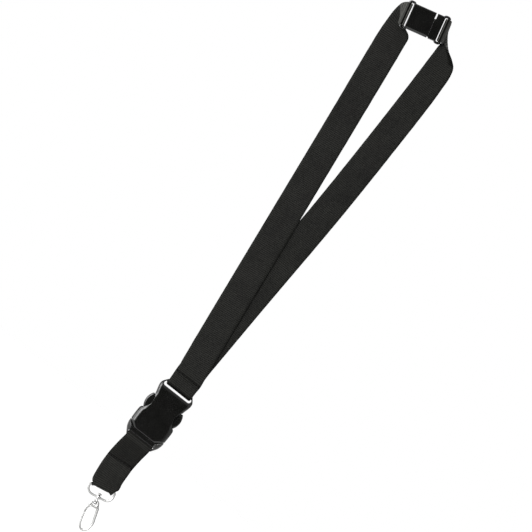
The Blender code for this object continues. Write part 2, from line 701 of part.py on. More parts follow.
def hook_body(metal, frame, pivot):
    """Head with a window for the stud, and the oval arm that ends below the gate."""
    head = [(1.9, -3.0), (3.2, -4.2), (4.1, -6.4), (4.9, -9.0), (4.4, -9.7), (-1.9, -9.5)]
    head += arc(GATE_PIN_AT, 1.55, 290.0, 170.0, 5) + [(-3.9, -6.2), (-3.2, -4.2), (-1.9, -3.0)]
    body = add_mesh("hook_body", plate(head, 2.1, 0.5), metal, frame, pivot)
    oval = [(4.0, -8.4), (4.7, -12.0), (5.4, -16.8), (6.1, -21.4), (5.7, -24.9), (4.1, -28.3)]
    oval += [(1.6, -30.3), (-0.6, -30.4), (-2.6, -28.8), (-3.7, -25.6), (-4.3, -21.6), (-4.6, -17.4)]
    centre_line = [(x, 0.0, z) for x, z in oval]
    path = catmull(centre_line, 4)
    radii = []
    for i in range(len(path)):
        share = i / (len(path) - 1)
        radii.append((1.15 - 0.45 * share, 1.4 - 0.5 * share))
    join(body, "hook_oval", sweep(path, radii, Y_AXIS, sides=10))
    window = rounded_box(-2.1, -7.7, 2.2, -4.2, 0.5, 2)
    cut(body, "head_window", prism(window, -4.0, 4.0))
    cut(body, "head_bore", turned([(1.2, -5.5), (1.2, -2.0)]))
    cut(body, "gate_slot", box((-7.0, -1.3, -12.0), (-1.25, 1.3, -6.95)))
    cut(body, "pin_bore", disc(GATE_PIN_AT, GATE_PIN_RADIUS + FIT_GAP, 4.0, 16))


def hook_gate(metal, frame, pivot):
    outline = arc(GATE_PIN_AT, 1.35, -30.0, 150.0, 8)
    outline += [(-5.0, -10.2), (-5.6, -12.4), (-5.7, -14.6), (-5.5, -16.4), (-3.9, -16.4)]
    outline += [(-3.9, -14.4), (-3.7, -12.4), (-2.9, -10.7)]
    gate = add_mesh("hook_gate", plate(outline, 1.0, 0.25, 1), metal, frame, pivot)
    cut(gate, "gate_channel", box((-4.5, -0.5, -12.0), (0.0, 0.5, -6.0)))
    cut(gate, "gate_bore", disc(GATE_PIN_AT, GATE_PIN_RADIUS + FIT_GAP, 4.0, 16))


def gate_pin(metal, frame, pivot):
    outline = arc(GATE_PIN_AT, GATE_PIN_RADIUS, 0.0, 337.5, 15)
    add_mesh("gate_pin", plate(outline, 2.05, 0.1, 1), metal, frame, pivot)


def gate_spring(metal, frame, pivot):
    """Two turns round the pin and a leg on each side."""
    radius = 1.0
    path = [Vector((-1.5, -0.3, -7.15))]
    turns, steps = 2.0, 24
    for i in range(steps + 1):
        angle = math.radians(20.0) + 2.0 * math.pi * turns * i / steps
        x = GATE_PIN_AT[0] + radius * math.cos(angle)
        z = GATE_PIN_AT[1] + radius * math.sin(angle)
        path.append(Vector((x, -0.3 + 0.6 * i / steps, z)))
    path.append(Vector((-2.6, 0.33, -10.4)))
    add_mesh("gate_spring", sweep(path, [(0.11, 0.11)] * len(path), Y_AXIS, sides=6), metal, frame, pivot)


def build():
    clear_scene()
    web = make_material("webbing", (0.021, 0.021, 0.020), 0.85, 0.0)
    thread = make_material("thread", (0.012, 0.012, 0.012), 0.7, 0.0)
    plastic = make_material("plastic", (0.008, 0.008, 0.007), 0.32, 0.0)
    metal = make_material("metal", (0.78, 0.79, 0.78), 0.16, 1.0)

    breakaway = frame_at(BREAKAWAY_AT, BREAKAWAY_TILT)
    buckle = frame_at((0.0, BUCKLE_Y, 0.0))
    ring = frame_at(RING_AT, HOOK_TILT)
    hook = frame_at(SWIVEL_AT, HOOK_TILT)

    root = add_pivot("pivot_neck_loop", breakaway)
    plug = add_pivot("pivot_plug", breakaway, root)
    swing = add_pivot("pivot_buckle", frame_at((0.0, BUCKLE_Y, FRAME_BAR_Z)), root)
    male = add_pivot("pivot_male", buckle, swing)
    tab = add_pivot("pivot_tab", frame_at((0.0, BUCKLE_Y, MALE_BAR_Z)), male)
    ring_pivot = add_pivot("pivot_ring", ring, tab)
    spin = add_pivot("pivot_hook", hook, ring_pivot)
    pin_frame = hook @ Matrix.Translation(Vector((GATE_PIN_AT[0], 0.0, GATE_PIN_AT[1])) * MM)
    gate = add_pivot("pivot_gate", pin_frame, spin)

    neck_straps(web, thread, root, plug)
    breakaway_socket(plastic, breakaway, root)
    breakaway_plug(plastic, breakaway, plug)
    buckle_female(plastic, buckle, swing)
    buckle_male(plastic, buckle, male)
    for side, name in ((-1.0, "left"), (1.0, "right")):
        root_point = (side * ARM_ROOT[0], BUCKLE_Y, ARM_ROOT[1])
        arm = add_pivot("pivot_arm_" + name, frame_at(root_point), male)
        buckle_arm(side, "buckle_arm_" + name, plastic, buckle, arm)
    tab_strap(web, thread, tab)
    d_ring(metal, ring, ring_pivot)
    swivel_stud(metal, hook, ring_pivot)
    hook_body(metal, hook, spin)
    hook_gate(metal, hook, gate)
    gate_pin(metal, hook, spin)
    gate_spring(metal, hook, spin)


build()
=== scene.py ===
"""Looks for the lanyard: webbing, moulded buckle and breakaway, plated hook, studio."""

import math

import bmesh
import bpy
from mathutils import Matrix, Vector, noise


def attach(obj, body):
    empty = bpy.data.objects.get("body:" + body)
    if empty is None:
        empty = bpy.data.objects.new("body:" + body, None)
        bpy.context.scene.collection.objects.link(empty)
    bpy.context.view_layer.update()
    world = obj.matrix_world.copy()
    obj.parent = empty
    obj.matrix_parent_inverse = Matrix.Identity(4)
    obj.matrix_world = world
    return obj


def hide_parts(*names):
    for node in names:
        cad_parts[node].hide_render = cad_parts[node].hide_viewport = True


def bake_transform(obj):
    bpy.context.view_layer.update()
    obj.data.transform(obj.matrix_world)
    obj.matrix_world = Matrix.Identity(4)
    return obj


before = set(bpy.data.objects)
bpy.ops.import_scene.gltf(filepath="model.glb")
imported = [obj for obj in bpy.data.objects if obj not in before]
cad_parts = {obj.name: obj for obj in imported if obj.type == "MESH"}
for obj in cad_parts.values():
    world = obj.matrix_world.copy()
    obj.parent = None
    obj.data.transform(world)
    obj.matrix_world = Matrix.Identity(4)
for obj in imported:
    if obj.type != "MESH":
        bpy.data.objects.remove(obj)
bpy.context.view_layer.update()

MM = 0.001
Y_AXIS = Vector((0.0, 1.0, 0.0))

# Webbing, in millimetres
WEB_WIDTH = 25.0
WEB_THICK = 1.1
HALF_WIDTH = WEB_WIDTH / 2.0
HALF_THICK = WEB_THICK / 2.0
RIB_PITCH = 1.6
RIB_STEPS = 6
RIB_HEIGHT = 0.07
WARP_PITCH = 0.62
EDGE_RADIUS = 0.55
BACK_UV = 40.0
CELLS_ACROSS = 14
CURVE_STEPS = 24
ALL_ACROSS = (-1.0, 2.0)

# Seams
SEAM_DEPTH = 0.42
HIDDEN_SEAM_DEPTH = 0.05
STITCH_PITCH = 2.6
STITCH_MARGIN = 1.3
STITCH_RADII = (0.24, 0.2)
NEEDLE_DIP = 0.25
TAB_SEAM_SLANT = 2.0

# Where the main parts sit
BREAKAWAY_AT = (-28.3, -8.0, 399.0)
BREAKAWAY_TILT = 14.0
BUCKLE_Y = -5.0
RING_AT = (0.25, -5.0, -77.36)
SWIVEL_AT = (2.0, -5.0, -86.8)
HOOK_TILT = 10.5

# Breakaway
HUB_BAR_U = 17.9
HUB_BAR_RADIUS = 1.3
HUB_NECK = 14.4
HUB_RING_HALF = 12.85
HUB_WRAP_HALF = 10.2
HUB_WRAP_GAP = 0.4
HUB_WRAP_ANGLES = (60, 30, 0, -45, -90, -125, -150, -180)
SHELL_HALF = 11.3
SHELL_EDGE = 1.0
FAR = 5.0
OUTSIDE = 13.0

# Buckle
BAR_RADIUS = 1.4
NECK_BAR_Z = 27.4
NECK_BAR_GAP = 0.6
TAB_BAR_Z = -27.95
TAB_BAR_GAP = 0.5
MOUTH_Z = -21.2
MOUTH_HALF = 13.2
CAVITY_HALF = 3.3
CUT_HALF = 8.0

# Studio
FLOOR_Z = -160.0
FLOOR_HALF = 3000.0
CAMERA_ROLL = 38.1
CAMERA_AIM = (-0.0070, -0.005, 0.1544)
CAMERA_DISTANCE = 4.0
VIEW_WIDTH = 0.4495

# Ring and hook
WIRE_RADIUS = 0.9
WIRE_GAP = 0.4
RING_HALF = 10.1
PIN_AT = (-3.0, -8.6)
PIN_BORE = 0.75
COIL_STEPS = 96
COIL_RADII = (0.12, 0.12)


# ---------------------------------------------------------------- shapes

def frame_at(at, tilt=0.0):
    """A frame in millimetres at a point, its X axis raised by tilt degrees towards +Z."""
    return Matrix.Translation(Vector(at)) @ Matrix.Rotation(math.radians(-tilt), 4, "Y")


def catmull(points, steps):
    """A centripetal Catmull-Rom curve."""
    points = [Vector(p) for p in points]
    padded = [points[0] * 2.0 - points[1]] + points + [points[-1] * 2.0 - points[-2]]
    curve = []
    for i in range(len(points) - 1):
        a, b, c, d = padded[i : i + 4]
        t1 = math.sqrt((b - a).length)
        t2 = t1 + math.sqrt((c - b).length)
        t3 = t2 + math.sqrt((d - c).length)
        for k in range(steps):
            t = t1 + (t2 - t1) * k / steps
            ab = a.lerp(b, t / t1)
            bc = b.lerp(c, (t - t1) / (t2 - t1))
            cd = c.lerp(d, (t - t2) / (t3 - t2))
            abc = ab.lerp(bc, t / t2)
            bcd = bc.lerp(cd, (t - t1) / (t3 - t1))
            curve.append(abc.lerp(bcd, (t - t1) / (t2 - t1)))
    curve.append(points[-1])
    return curve


def loft(rings, closed=False):
    count = len(rings[0])
    vertices = [point for ring in rings for point in ring]
    spans = len(rings) if closed else len(rings) - 1
    faces = []
    for i in range(spans):
        low = i * count
        high = (i + 1) % len(rings) * count
        for k in range(count):
            nxt = (k + 1) % count
            faces.append((low + k, low + nxt, high + nxt, high + k))
    if not closed:
        faces.append(tuple(range(count))[::-1])
        faces.append(tuple(range(len(vertices) - count, len(vertices))))
    return vertices, faces


def arc(centre, radius, start, end, steps):
    points = []
    for i in range(steps + 1):
        angle = math.radians(start + (end - start) * i / steps)
        points.append((centre[0] + radius * math.cos(angle), centre[1] + radius * math.sin(angle)))
    return points


def rounded_box(low_x, low_z, high_x, high_z, radius, steps=8):
    outline = []
    for x, z, start in (
        (high_x - radius, high_z - radius, 0.0),
        (low_x + radius, high_z - radius, 90.0),
        (low_x + radius, low_z + radius, 180.0),
        (high_x - radius, low_z + radius, 270.0),
    ):
        outline += arc((x, z), radius, start, start + 90.0, steps)
    return outline


def prism(outline, low_y, high_y):
    return loft([[(x, y, z) for x, z in outline] for y in (low_y, high_y)])


def disc(centre, radius, half_thick, steps=64):
    return prism(arc(centre, radius, 0.0, 360.0 - 360.0 / steps, steps - 1), -half_thick, half_thick)


def inset(outline, distance):
    area = 0.0
    for (x0, z0), (x1, z1) in zip(outline, outline[1:] + outline[:1]):
        area += x0 * z1 - x1 * z0
    turn = 1.0 if area > 0.0 else -1.0
    moved = []
    for i, point in enumerate(outline):
        here = Vector(point)
        before = (here - Vector(outline[i - 1])).normalized()
        after = (Vector(outline[(i + 1) % len(outline)]) - here).normalized()
        side_a = Vector((-before.y, before.x)) * turn
        side_b = Vector((-after.y, after.x)) * turn
        corner = here + (side_a + side_b) * distance / (1.0 + side_a.dot(side_b))
        moved.append((corner.x, corner.y))
    return moved


def plate(outline, half_thick, edge, steps=5):
    """An outline given thickness, with rounded edges."""
    rings = []
    for side in (-1.0, 1.0):
        rounded = []
        for i in range(steps + 1):
            angle = math.radians(90.0 * i / steps)
            y = half_thick - edge * (1.0 - math.cos(angle))
            ring = inset(outline, edge * (1.0 - math.sin(angle)))
            rounded.append([(x, side * y, z) for x, z in ring])
        rings += rounded if side < 0.0 else rounded[::-1]
    return loft(rings)


def turned(profile, steps=40):
    rings = []
    for radius, z in profile:
        ring = []
        for i in range(steps):
            angle = 2.0 * math.pi * i / steps
            ring.append((radius * math.cos(angle), radius * math.sin(angle), z))
        rings.append(ring)
    return loft(rings)


def rod_along_x(half_length, radius, z, steps=32, edge=0.6):
    rings = []
    for x, r in (
        (-half_length, radius - edge),
        (-half_length + edge, radius),
        (half_length - edge, radius),
        (half_length, radius - edge),
    ):
        ring = []
        for i in range(steps):
            angle = 2.0 * math.pi * i / steps
            ring.append((x, r * math.cos(angle), z + r * math.sin(angle)))
        rings.append(ring)
    return loft(rings)


def sweep(path, radii, reference, sides=16, closed=False):
    """A tube on a path; radii holds (radius in the plane, radius along the reference)."""
    rings = []
    for i, point in enumerate(path):
        before = path[i - 1] if closed or i > 0 else point
        after = path[(i + 1) % len(path)] if closed or i < len(path) - 1 else point
        tangent = (after - before).normalized()
        up = (reference - tangent * reference.dot(tangent)).normalized()
        side = tangent.cross(up)
        flat, tall = radii[i]
        ring = []
        for k in range(sides):
            angle = 2.0 * math.pi * k / sides
            ring.append(point + side * flat * math.cos(angle) + up * tall * math.sin(angle))
        rings.append(ring)
    return loft(rings, closed)


# ---------------------------------------------------------------- objects

def new_object(name, shape, matrix=None):
    vertices, faces = shape
    matrix = matrix or Matrix.Identity(4)
    mesh = bpy.data.meshes.new(name)
    mesh.from_pydata([(matrix @ Vector(v)) * MM for v in vertices], [], faces)
    bm = bmesh.new()
    bm.from_mesh(mesh)
    bmesh.ops.recalc_face_normals(bm, faces=bm.faces)
    bm.to_mesh(mesh)
    bm.free()
    obj = bpy.data.objects.new(name, mesh)
    bpy.context.scene.collection.objects.link(obj)
    return obj


def apply_modifiers(obj):
    graph = bpy.context.evaluated_depsgraph_get()
    mesh = bpy.data.meshes.new_from_object(obj.evaluated_get(graph))
    obj.modifiers.clear()
    obj.data = mesh


def combine(name, base, steps, matrix):
    """A shape changed by a list of (operation, shape)."""
    obj = new_object(name, base, matrix)
    tools = []
    for operation, shape in steps:
        tool = new_object(name + "_tool", shape, matrix)
        tools.append(tool)
        modifier = obj.modifiers.new("step", "BOOLEAN")
        modifier.operation = operation
        modifier.object = tool
        modifier.solver = "EXACT"
        modifier.use_self = True
    bpy.context.view_layer.update()
    apply_modifiers(obj)
    for tool in tools:
        bpy.data.objects.remove(tool, do_unlink=True)
    return obj


def mould(obj, voxel, rounds, keep=0.5):
    """Gives an object the soft edges and fillets of a moulding or casting."""
    remesh = obj.modifiers.new("remesh", "REMESH")
    remesh.mode = "VOXEL"
    remesh.voxel_size = voxel * MM
    relax = obj.modifiers.new("relax", "SMOOTH")
    relax.factor = 0.5
    relax.iterations = rounds
    thin = obj.modifiers.new("thin", "DECIMATE")
    thin.ratio = keep
    obj.modifiers.new("flatten", "WEIGHTED_NORMAL")
    apply_modifiers(obj)
    return finish_object(obj)


def finish_object(obj):
    obj.data.shade_smooth()
    return obj


def dress(obj, material, body, slot, *nodes):
    """Material, body and the CAD nodes this piece stands for."""
    obj.data.materials.clear()
    obj.data.materials.append(material)
    if body:
        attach(obj, body)
    if nodes:
        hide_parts(*nodes)
    return obj


# ---------------------------------------------------------------- materials

class Nodes:
    """A short way to write a node tree."""

    def __init__(self, name):
        self.material = bpy.data.materials.new(name)
        self.material.use_nodes = True
        self.tree = self.material.node_tree
        self.shader = self.tree.nodes["Principled BSDF"]

    def add(self, kind, **values):
        node = self.tree.nodes.new(kind)
        for key, value in values.items():
            if key in node.inputs:
                node.inputs[key].default_value = value
            else:
                setattr(node, key, value)
        return node

    def link(self, source, target):
        self.tree.links.new(source, target)

    def maths(self, operation, a, b=None, c=None):
        node = self.tree.nodes.new("ShaderNodeMath")
        node.operation = operation
        for i, value in enumerate((a, b, c)):
            if value is None:
                continue
            if isinstance(value, (int, float)):
                node.inputs[i].default_value = value
            else:
                self.link(value, node.inputs[i])
        return node.outputs[0]

    def noise(self, vector, scale, detail=3.0, roughness=0.55):
        node = self.add("ShaderNodeTexNoise", Scale=scale, Detail=detail, Roughness=roughness)
        self.link(vector, node.inputs["Vector"])
        return node.outputs["Fac"]

    def ramp(self, value, stops):
        node = self.tree.nodes.new("ShaderNodeValToRGB")
        elements = node.color_ramp.elements
        while len(elements) < len(stops):
            elements.new(0.5)
        for element, (position, colour) in zip(elements, stops):
            element.position = position
            element.color = (*colour, 1.0)
        self.link(value, node.inputs["Fac"])
        return node.outputs["Color"]

    def bump(self, height, distance, strength=1.0, normal=None):
        node = self.add("ShaderNodeBump", Strength=strength, Distance=distance)
        self.link(height, node.inputs["Height"])
        if normal is not None:
            self.link(normal, node.inputs["Normal"])
        return node.outputs["Normal"]


def warm_stops(*stops):
    """Ramp stops in black that leans a little to yellow."""
    return [(position, (level, level, 0.86 * level)) for position, level in stops]


def webbing_material():
    """Plain-woven polyester: raised transverse ribs crossed by fine warp ends, with painted shade
    between the ribs.

    The UVs are in millimetres, across and along the webbing.
    """
    n = Nodes("webbing")
    uv = n.add("ShaderNodeUVMap", uv_map="weave").outputs["UV"]
    split = n.add("ShaderNodeSeparateXYZ")
    n.link(uv, split.inputs[0])
    across, along = split.outputs["X"], split.outputs["Y"]
    rib = n.maths("MULTIPLY", along, 2.0 * math.pi / RIB_PITCH)
    ends = n.maths("MULTIPLY", across, 2.0 * math.pi / WARP_PITCH)
    rib_wave = n.maths("COSINE", rib)
    half_turn = n.maths("MULTIPLY", rib, 0.5)
    swap = n.maths("SIGN", n.maths("COSINE", half_turn))
    warp = n.maths("MULTIPLY", n.maths("SINE", n.maths("ADD", ends, half_turn)), swap)
    position = n.add("ShaderNodeTexCoord").outputs["Object"]
    fibre = n.noise(position, 3200.0, 2.0)
    broad = n.noise(position, 55.0, 4.0)
    patch = n.noise(position, 400.0, 3.0)
    height = n.maths("MULTIPLY_ADD", warp, 0.35, n.maths("MULTIPLY", fibre, 0.8))
    height = n.maths("MULTIPLY_ADD", patch, 0.5, height)
    # The ribs are also painted into the colour: painted shade between the ribs, with more contrast near
    # the top, above about 0.35 m.
    place = n.add("ShaderNodeSeparateXYZ")
    n.link(position, place.inputs[0])
    upper = n.maths("MULTIPLY_ADD", place.outputs["Z"], 10.0, -3.5)
    upper = n.maths("MINIMUM", n.maths("MAXIMUM", upper, 0.0), 0.3)
    rib_shade_share = n.maths("MULTIPLY_ADD", broad, 0.8, n.maths("SUBTRACT", upper, 0.02))
    # Colour: painted shade of the ribs and warp ends, plus random yarn tone from the patch and broad
    # noise.
    shade = n.maths("MULTIPLY_ADD", rib_wave, rib_shade_share, 0.5)
    shade = n.maths("MULTIPLY_ADD", warp, 0.06, shade)
    shade = n.maths("MULTIPLY_ADD", n.maths("SUBTRACT", patch, 0.5), 0.7, shade)
    shade = n.maths("MULTIPLY_ADD", n.maths("SUBTRACT", broad, 0.5), 0.6, shade)
    weave_colour_and_shade = n.ramp(shade, warm_stops((0.15, 0.0020), (0.5, 0.0058), (0.9, 0.0122)))
    # The per-vertex attribute read here is painted light and shade: it scales the colour, and the
    # specular and sheen with it, so bands with a painted highlight also shine more.
    painted_light = n.add("ShaderNodeAttribute", attribute_name="painted_light").outputs["Fac"]
    colour = n.add("ShaderNodeVectorMath", operation="SCALE")
    n.link(weave_colour_and_shade, colour.inputs[0])
    n.link(painted_light, colour.inputs["Scale"])
    n.link(colour.outputs[0], n.shader.inputs["Base Color"])
    n.link(n.maths("MULTIPLY_ADD", fibre, 0.2, 0.68), n.shader.inputs["Roughness"])
    n.link(n.maths("MULTIPLY", painted_light, 0.12), n.shader.inputs["Specular IOR Level"])
    n.link(n.maths("MULTIPLY", painted_light, 0.015), n.shader.inputs["Sheen Weight"])
    n.shader.inputs["Sheen Roughness"].default_value = 0.45
    n.link(n.bump(height, 0.00011), n.shader.inputs["Normal"])
    return n.material


def thread_material():
    n = Nodes("thread")
    position = n.add("ShaderNodeTexCoord").outputs["Object"]
    twist = n.add("ShaderNodeTexWave", Scale=900.0, Distortion=1.5, Detail=1.0)
    twist.bands_direction = "DIAGONAL"
    n.link(position, twist.inputs["Vector"])
    colour = n.ramp(twist.outputs["Fac"], warm_stops((0.0, 0.0015), (1.0, 0.0060)))
    n.link(colour, n.shader.inputs["Base Color"])
    n.shader.inputs["Roughness"].default_value = 0.7
    n.shader.inputs["Specular IOR Level"].default_value = 0.2
    n.link(n.bump(twist.outputs["Fac"], 0.00006), n.shader.inputs["Normal"])
    return n.material


def plastic_material():
    """Moulded acetal: near black, semi-gloss, with faint flow marks and scuffs; by pointiness its
    convex edges are lighter, as rubbed wear with a painted highlight, and its hollows darker, as
    painted shade.
    """
    n = Nodes("plastic")
    position = n.add("ShaderNodeTexCoord").outputs["Object"]
    flow = n.noise(position, 120.0, 3.0)
    grain = n.noise(position, 2600.0, 2.0)
    scuff = n.add("ShaderNodeTexNoise", Scale=260.0, Detail=6.0, Roughness=0.7, Distortion=2.2)
    stretch = n.add("ShaderNodeMapping")
    stretch.inputs["Scale"].default_value = (1.0, 1.0, 0.12)
    n.link(position, stretch.inputs["Vector"])
    n.link(stretch.outputs[0], scuff.inputs["Vector"])
    marks = n.maths("GREATER_THAN", scuff.outputs["Fac"], 0.66)
    # By pointiness: lighter on convex edges as rubbed wear and painted highlight, darker in hollows as
    # painted shade.
    pointiness = n.add("ShaderNodeNewGeometry").outputs["Pointiness"]
    wear_and_painted_light = n.maths("MULTIPLY", n.maths("SUBTRACT", pointiness, 0.53), 2.5)
    shade = n.maths("MULTIPLY_ADD", flow, 0.5, wear_and_painted_light)
    colour = n.ramp(shade, warm_stops((0.0, 0.0016), (0.5, 0.0025), (1.0, 0.0048)))
    n.link(colour, n.shader.inputs["Base Color"])
    rough = n.maths("MULTIPLY_ADD", flow, 0.10, 0.14)
    rough = n.maths("MULTIPLY_ADD", marks, 0.08, rough)
    n.link(rough, n.shader.inputs["Roughness"])
    n.shader.inputs["IOR"].default_value = 1.48
    n.link(n.bump(grain, 0.000015, 0.5), n.shader.inputs["Normal"])
    return n.material


def plated_material():
    """Bright nickel plate with fine casting ripple and dull patches, its colour darkened towards
    grazing edges and on downward faces as painted shade.
    """
    n = Nodes("plated_metal")
    position = n.add("ShaderNodeTexCoord").outputs["Object"]
    ripple = n.noise(position, 420.0, 3.0)
    dull = n.noise(position, 900.0, 4.0)
    # Painted shade: darker towards grazing edges, and darker on faces that point down.
    grazing_shade = n.add("ShaderNodeLayerWeight", Blend=0.5).outputs["Facing"]
    split = n.add("ShaderNodeSeparateXYZ")
    n.link(n.add("ShaderNodeNewGeometry").outputs["Normal"], split.inputs[0])
    underside_shade = n.maths("MAXIMUM", n.maths("MULTIPLY", split.outputs["Z"], -0.45), 0.0)
    shade = n.maths("MULTIPLY_ADD", dull, 0.3, n.maths("ADD", grazing_shade, underside_shade))
    bright, grey, dark = (0.60, 0.60, 0.59), (0.22, 0.22, 0.22), (0.04, 0.04, 0.04)
    colour = n.ramp(shade, [(0.3, bright), (0.7, grey), (1.0, dark)])
    n.link(colour, n.shader.inputs["Base Color"])
    n.shader.inputs["Metallic"].default_value = 1.0
    n.link(n.maths("MULTIPLY_ADD", dull, 0.14, 0.16), n.shader.inputs["Roughness"])
    n.link(n.bump(ripple, 0.00003, 0.6), n.shader.inputs["Normal"])
    return n.material


WEB = webbing_material()
THREAD = thread_material()
PLASTIC = plastic_material()
METAL = plated_material()


# ---------------------------------------------------------------- webbing

def soft_step(value):
    value = min(max(value + 0.5, 0.0), 1.0)
    return value * value * (3.0 - 2.0 * value)


def hump(value, centre, spread, height):
    return height * math.exp(-((value - centre) / spread) ** 2)


def selvage_waver(run, phase, seed):
    """How far an edge strays: slowly along the webbing, and a little at every rib."""
    return 0.10 * noise.noise(Vector((run * 0.11, seed, 0.0))) + 0.05 * math.cos(phase)


class Webbing:
    """A length of webbing through pairs of edge points, sampled evenly along its middle."""

    def __init__(self, pairs, start=0.0, step=RIB_PITCH / RIB_STEPS):
        left = catmull([p for p, q in pairs], CURVE_STEPS)
        right = catmull([q for p, q in pairs], CURVE_STEPS)
        lengths = [0.0]
        for i in range(1, len(left)):
            a = (left[i - 1] + right[i - 1]) / 2.0
            b = (left[i] + right[i]) / 2.0
            lengths.append(lengths[-1] + (b - a).length)
        count = max(2, round(lengths[-1] / step))
        self.left, self.right, self.along = [], [], []
        k = 0
        for i in range(count + 1):
            target = lengths[-1] * i / count
            while k < len(lengths) - 2 and lengths[k + 1] < target:
                k += 1
            share = (target - lengths[k]) / (lengths[k + 1] - lengths[k])
            self.left.append(left[k].lerp(left[k + 1], share))
            self.right.append(right[k].lerp(right[k + 1], share))
            self.along.append(start + target)
        self.control = [lengths[i * CURVE_STEPS] + start for i in range(len(pairs))]

    def normal(self, index, share):
        last = len(self.left) - 1
        low, high = max(index - 2, 0), min(index + 2, last)
        along_left = self.left[high] - self.left[low]
        along_right = self.right[high] - self.right[low]
        along = along_left.lerp(along_right, share)
        return along.cross(self.right[index] - self.left[index]).normalized()

    def nearest(self, length):
        return min(range(len(self.along)), key=lambda i: abs(self.along[i] - length))

    def painted_light(self, run, share, grooves, bands):
        """Painted light and shade on the yarn: painted shade in the grooves, and in each band a factor
        that paints a highlight above 1 and shade below 1.

        A band is (start at the left edge, start at the right edge, the same two for its end,
        lowest share of the width, highest share, painted light factor).
        """
        value = 1.0
        for start_left, start_right, end_left, end_right, low, high, band_light in bands:
            start = start_left + (start_right - start_left) * share
            end = end_left + (end_right - end_left) * share
            weight = soft_step((run - start) / 0.7) * soft_step((end - run) / 0.7)
            weight *= soft_step((share - low) / 0.06) * soft_step((high - share) / 0.06)
            value += (band_light - 1.0) * weight
        # Painted shade in the seam grooves.
        for length, slant, depth in grooves:
            gap = run - length - slant * (share - 0.5)
            value *= 1.0 - hump(gap, 0.0, 0.8, min(0.85, 2.2 * depth))
        return max(value, 0.1)

    def shape(self, grooves=(), bands=(), droop=None):
        """grooves holds (length at the middle, slant, depth); each is pressed into both faces."""
        rings, uvs, painted_light_rings = [], [], []
        for i, (p, q) in enumerate(zip(self.left, self.right)):
            run = self.along[i]
            width = (q - p).length
            across = (q - p) / width
            phase = 2.0 * math.pi * run / RIB_PITCH
            waver = selvage_waver(run, phase, 3.0)
            waver_far = selvage_waver(run, phase + 2.2, 9.0)
            top, bottom, uv_top, uv_bottom, painted_light_ring = [], [], [], [], []
            for k in range(CELLS_ACROSS + 1):
                even = k / CELLS_ACROSS
                share = 0.65 * even + 0.35 * (0.5 - 0.5 * math.cos(math.pi * even))
                place = share * width
                edge = min(place, width - place)
                inside = max(0.0, 1.0 - max(0.0, 1.0 - edge / EDGE_RADIUS) ** 2)
                thick = HALF_THICK * math.sqrt(inside)
                near_edge = min(1.0, edge / 0.8)
                rise = RIB_HEIGHT * math.cos(phase + 0.25 * math.sin(place * 0.9)) * near_edge
                rise += hump(edge, 0.9, 0.5, 0.05)
                for length, slant, depth in grooves:
                    gap = run - length - slant * (share - 0.5)
                    pull = 0.75 + 0.25 * math.cos(2.0 * math.pi * place / STITCH_PITCH)
                    rise -= hump(gap, 0.0, 0.75, depth) * pull * near_edge
                sway = 0.16 * noise.noise(Vector((run * 0.035, place * 0.05, 1.7)))
                normal = self.normal(i, share)
                shift = waver * (1.0 - share) ** 4 - waver_far * share ** 4
                middle = p + across * (place - shift) + normal * sway
                if droop:
                    middle = middle + droop(run, place, width)
                painted_light_ring.append(self.painted_light(run, share, grooves, bands))
                lift = normal * (thick + rise * (thick / HALF_THICK))
                top.append(middle + lift)
                bottom.append(middle - lift)
                uv_top.append((place, run))
                uv_bottom.append((place + BACK_UV, run))
            rings.append(top + bottom[::-1])
            uvs.append(uv_top + uv_bottom[::-1])
            painted_light_rings.append(painted_light_ring + painted_light_ring[::-1])
        return rings, uvs, painted_light_rings

    def point(self, length, share, side, lift):
        i = self.nearest(length)
        p, q = self.left[i], self.right[i]
        return p.lerp(q, share) + self.normal(i, share) * side * (HALF_THICK + lift)


def web_object(name, webbing, grooves=(), bands=(), droop=None):
    rings, uvs, painted_light_rings = webbing.shape(grooves, bands, droop)
    obj = new_object(name, loft(rings))
    # Painted light and shade for each vertex, read by the webbing material.
    painted_light = obj.data.attributes.new("painted_light", "FLOAT", "POINT")
    painted_light.data.foreach_set("value", [value for ring in painted_light_rings for value in ring])
    flat = [uv for ring in uvs for uv in ring]
    layer = obj.data.uv_layers.new(name="weave")
    for loop in obj.data.loops:
        layer.data[loop.index].uv = flat[loop.vertex_index]
    obj.data.shade_smooth()
    return obj


def stitches(name, webbing, length, side, slant=0.0, depth=0.2):
    """A row of separate stitches, each rising from one needle hole and diving into the next."""
    run = WEB_WIDTH - 2.0 * STITCH_MARGIN
    count = round(run / STITCH_PITCH)
    vertices, faces = [], []
    for k in range(count):
        path = []
        for j in range(9):
            t = j / 8.0
            share = (STITCH_MARGIN + run * (k + 0.06 + 0.88 * t) / count) / WEB_WIDTH
            bulge = math.sin(math.pi * t) ** 0.6
            lift = -depth - NEEDLE_DIP + 0.42 * bulge
            path.append(webbing.point(length + slant * (share - 0.5), share, side, lift))
        normal = webbing.normal(webbing.nearest(length), 0.5)
        more_vertices, more_faces = sweep(path, [STITCH_RADII] * len(path), normal, sides=10)
        offset = len(vertices)
        vertices += more_vertices
        faces += [tuple(offset + v for v in face) for face in more_faces]
    return finish_object(new_object(name, (vertices, faces)))


def breakaway_point(u, y, v):
    tilt = math.radians(BREAKAWAY_TILT)
    x = BREAKAWAY_AT[0] + u * math.cos(tilt) - v * math.sin(tilt)
    z = BREAKAWAY_AT[2] + u * math.sin(tilt) + v * math.cos(tilt)
    return (x, y, z)


def hub_wrap(side):
    """The webbing round a breakaway bar, from its hidden end to the bar's outer side."""
    pairs = []
    radius = HUB_BAR_RADIUS + HUB_WRAP_GAP + HALF_THICK
    for angle in HUB_WRAP_ANGLES:
        u = side * (HUB_BAR_U - radius * math.cos(math.radians(angle)))
        y = BREAKAWAY_AT[1] + radius * math.sin(math.radians(angle))
        pairs.append((breakaway_point(u, y, HUB_WRAP_HALF), breakaway_point(u, y, -HUB_WRAP_HALF)))
    return pairs


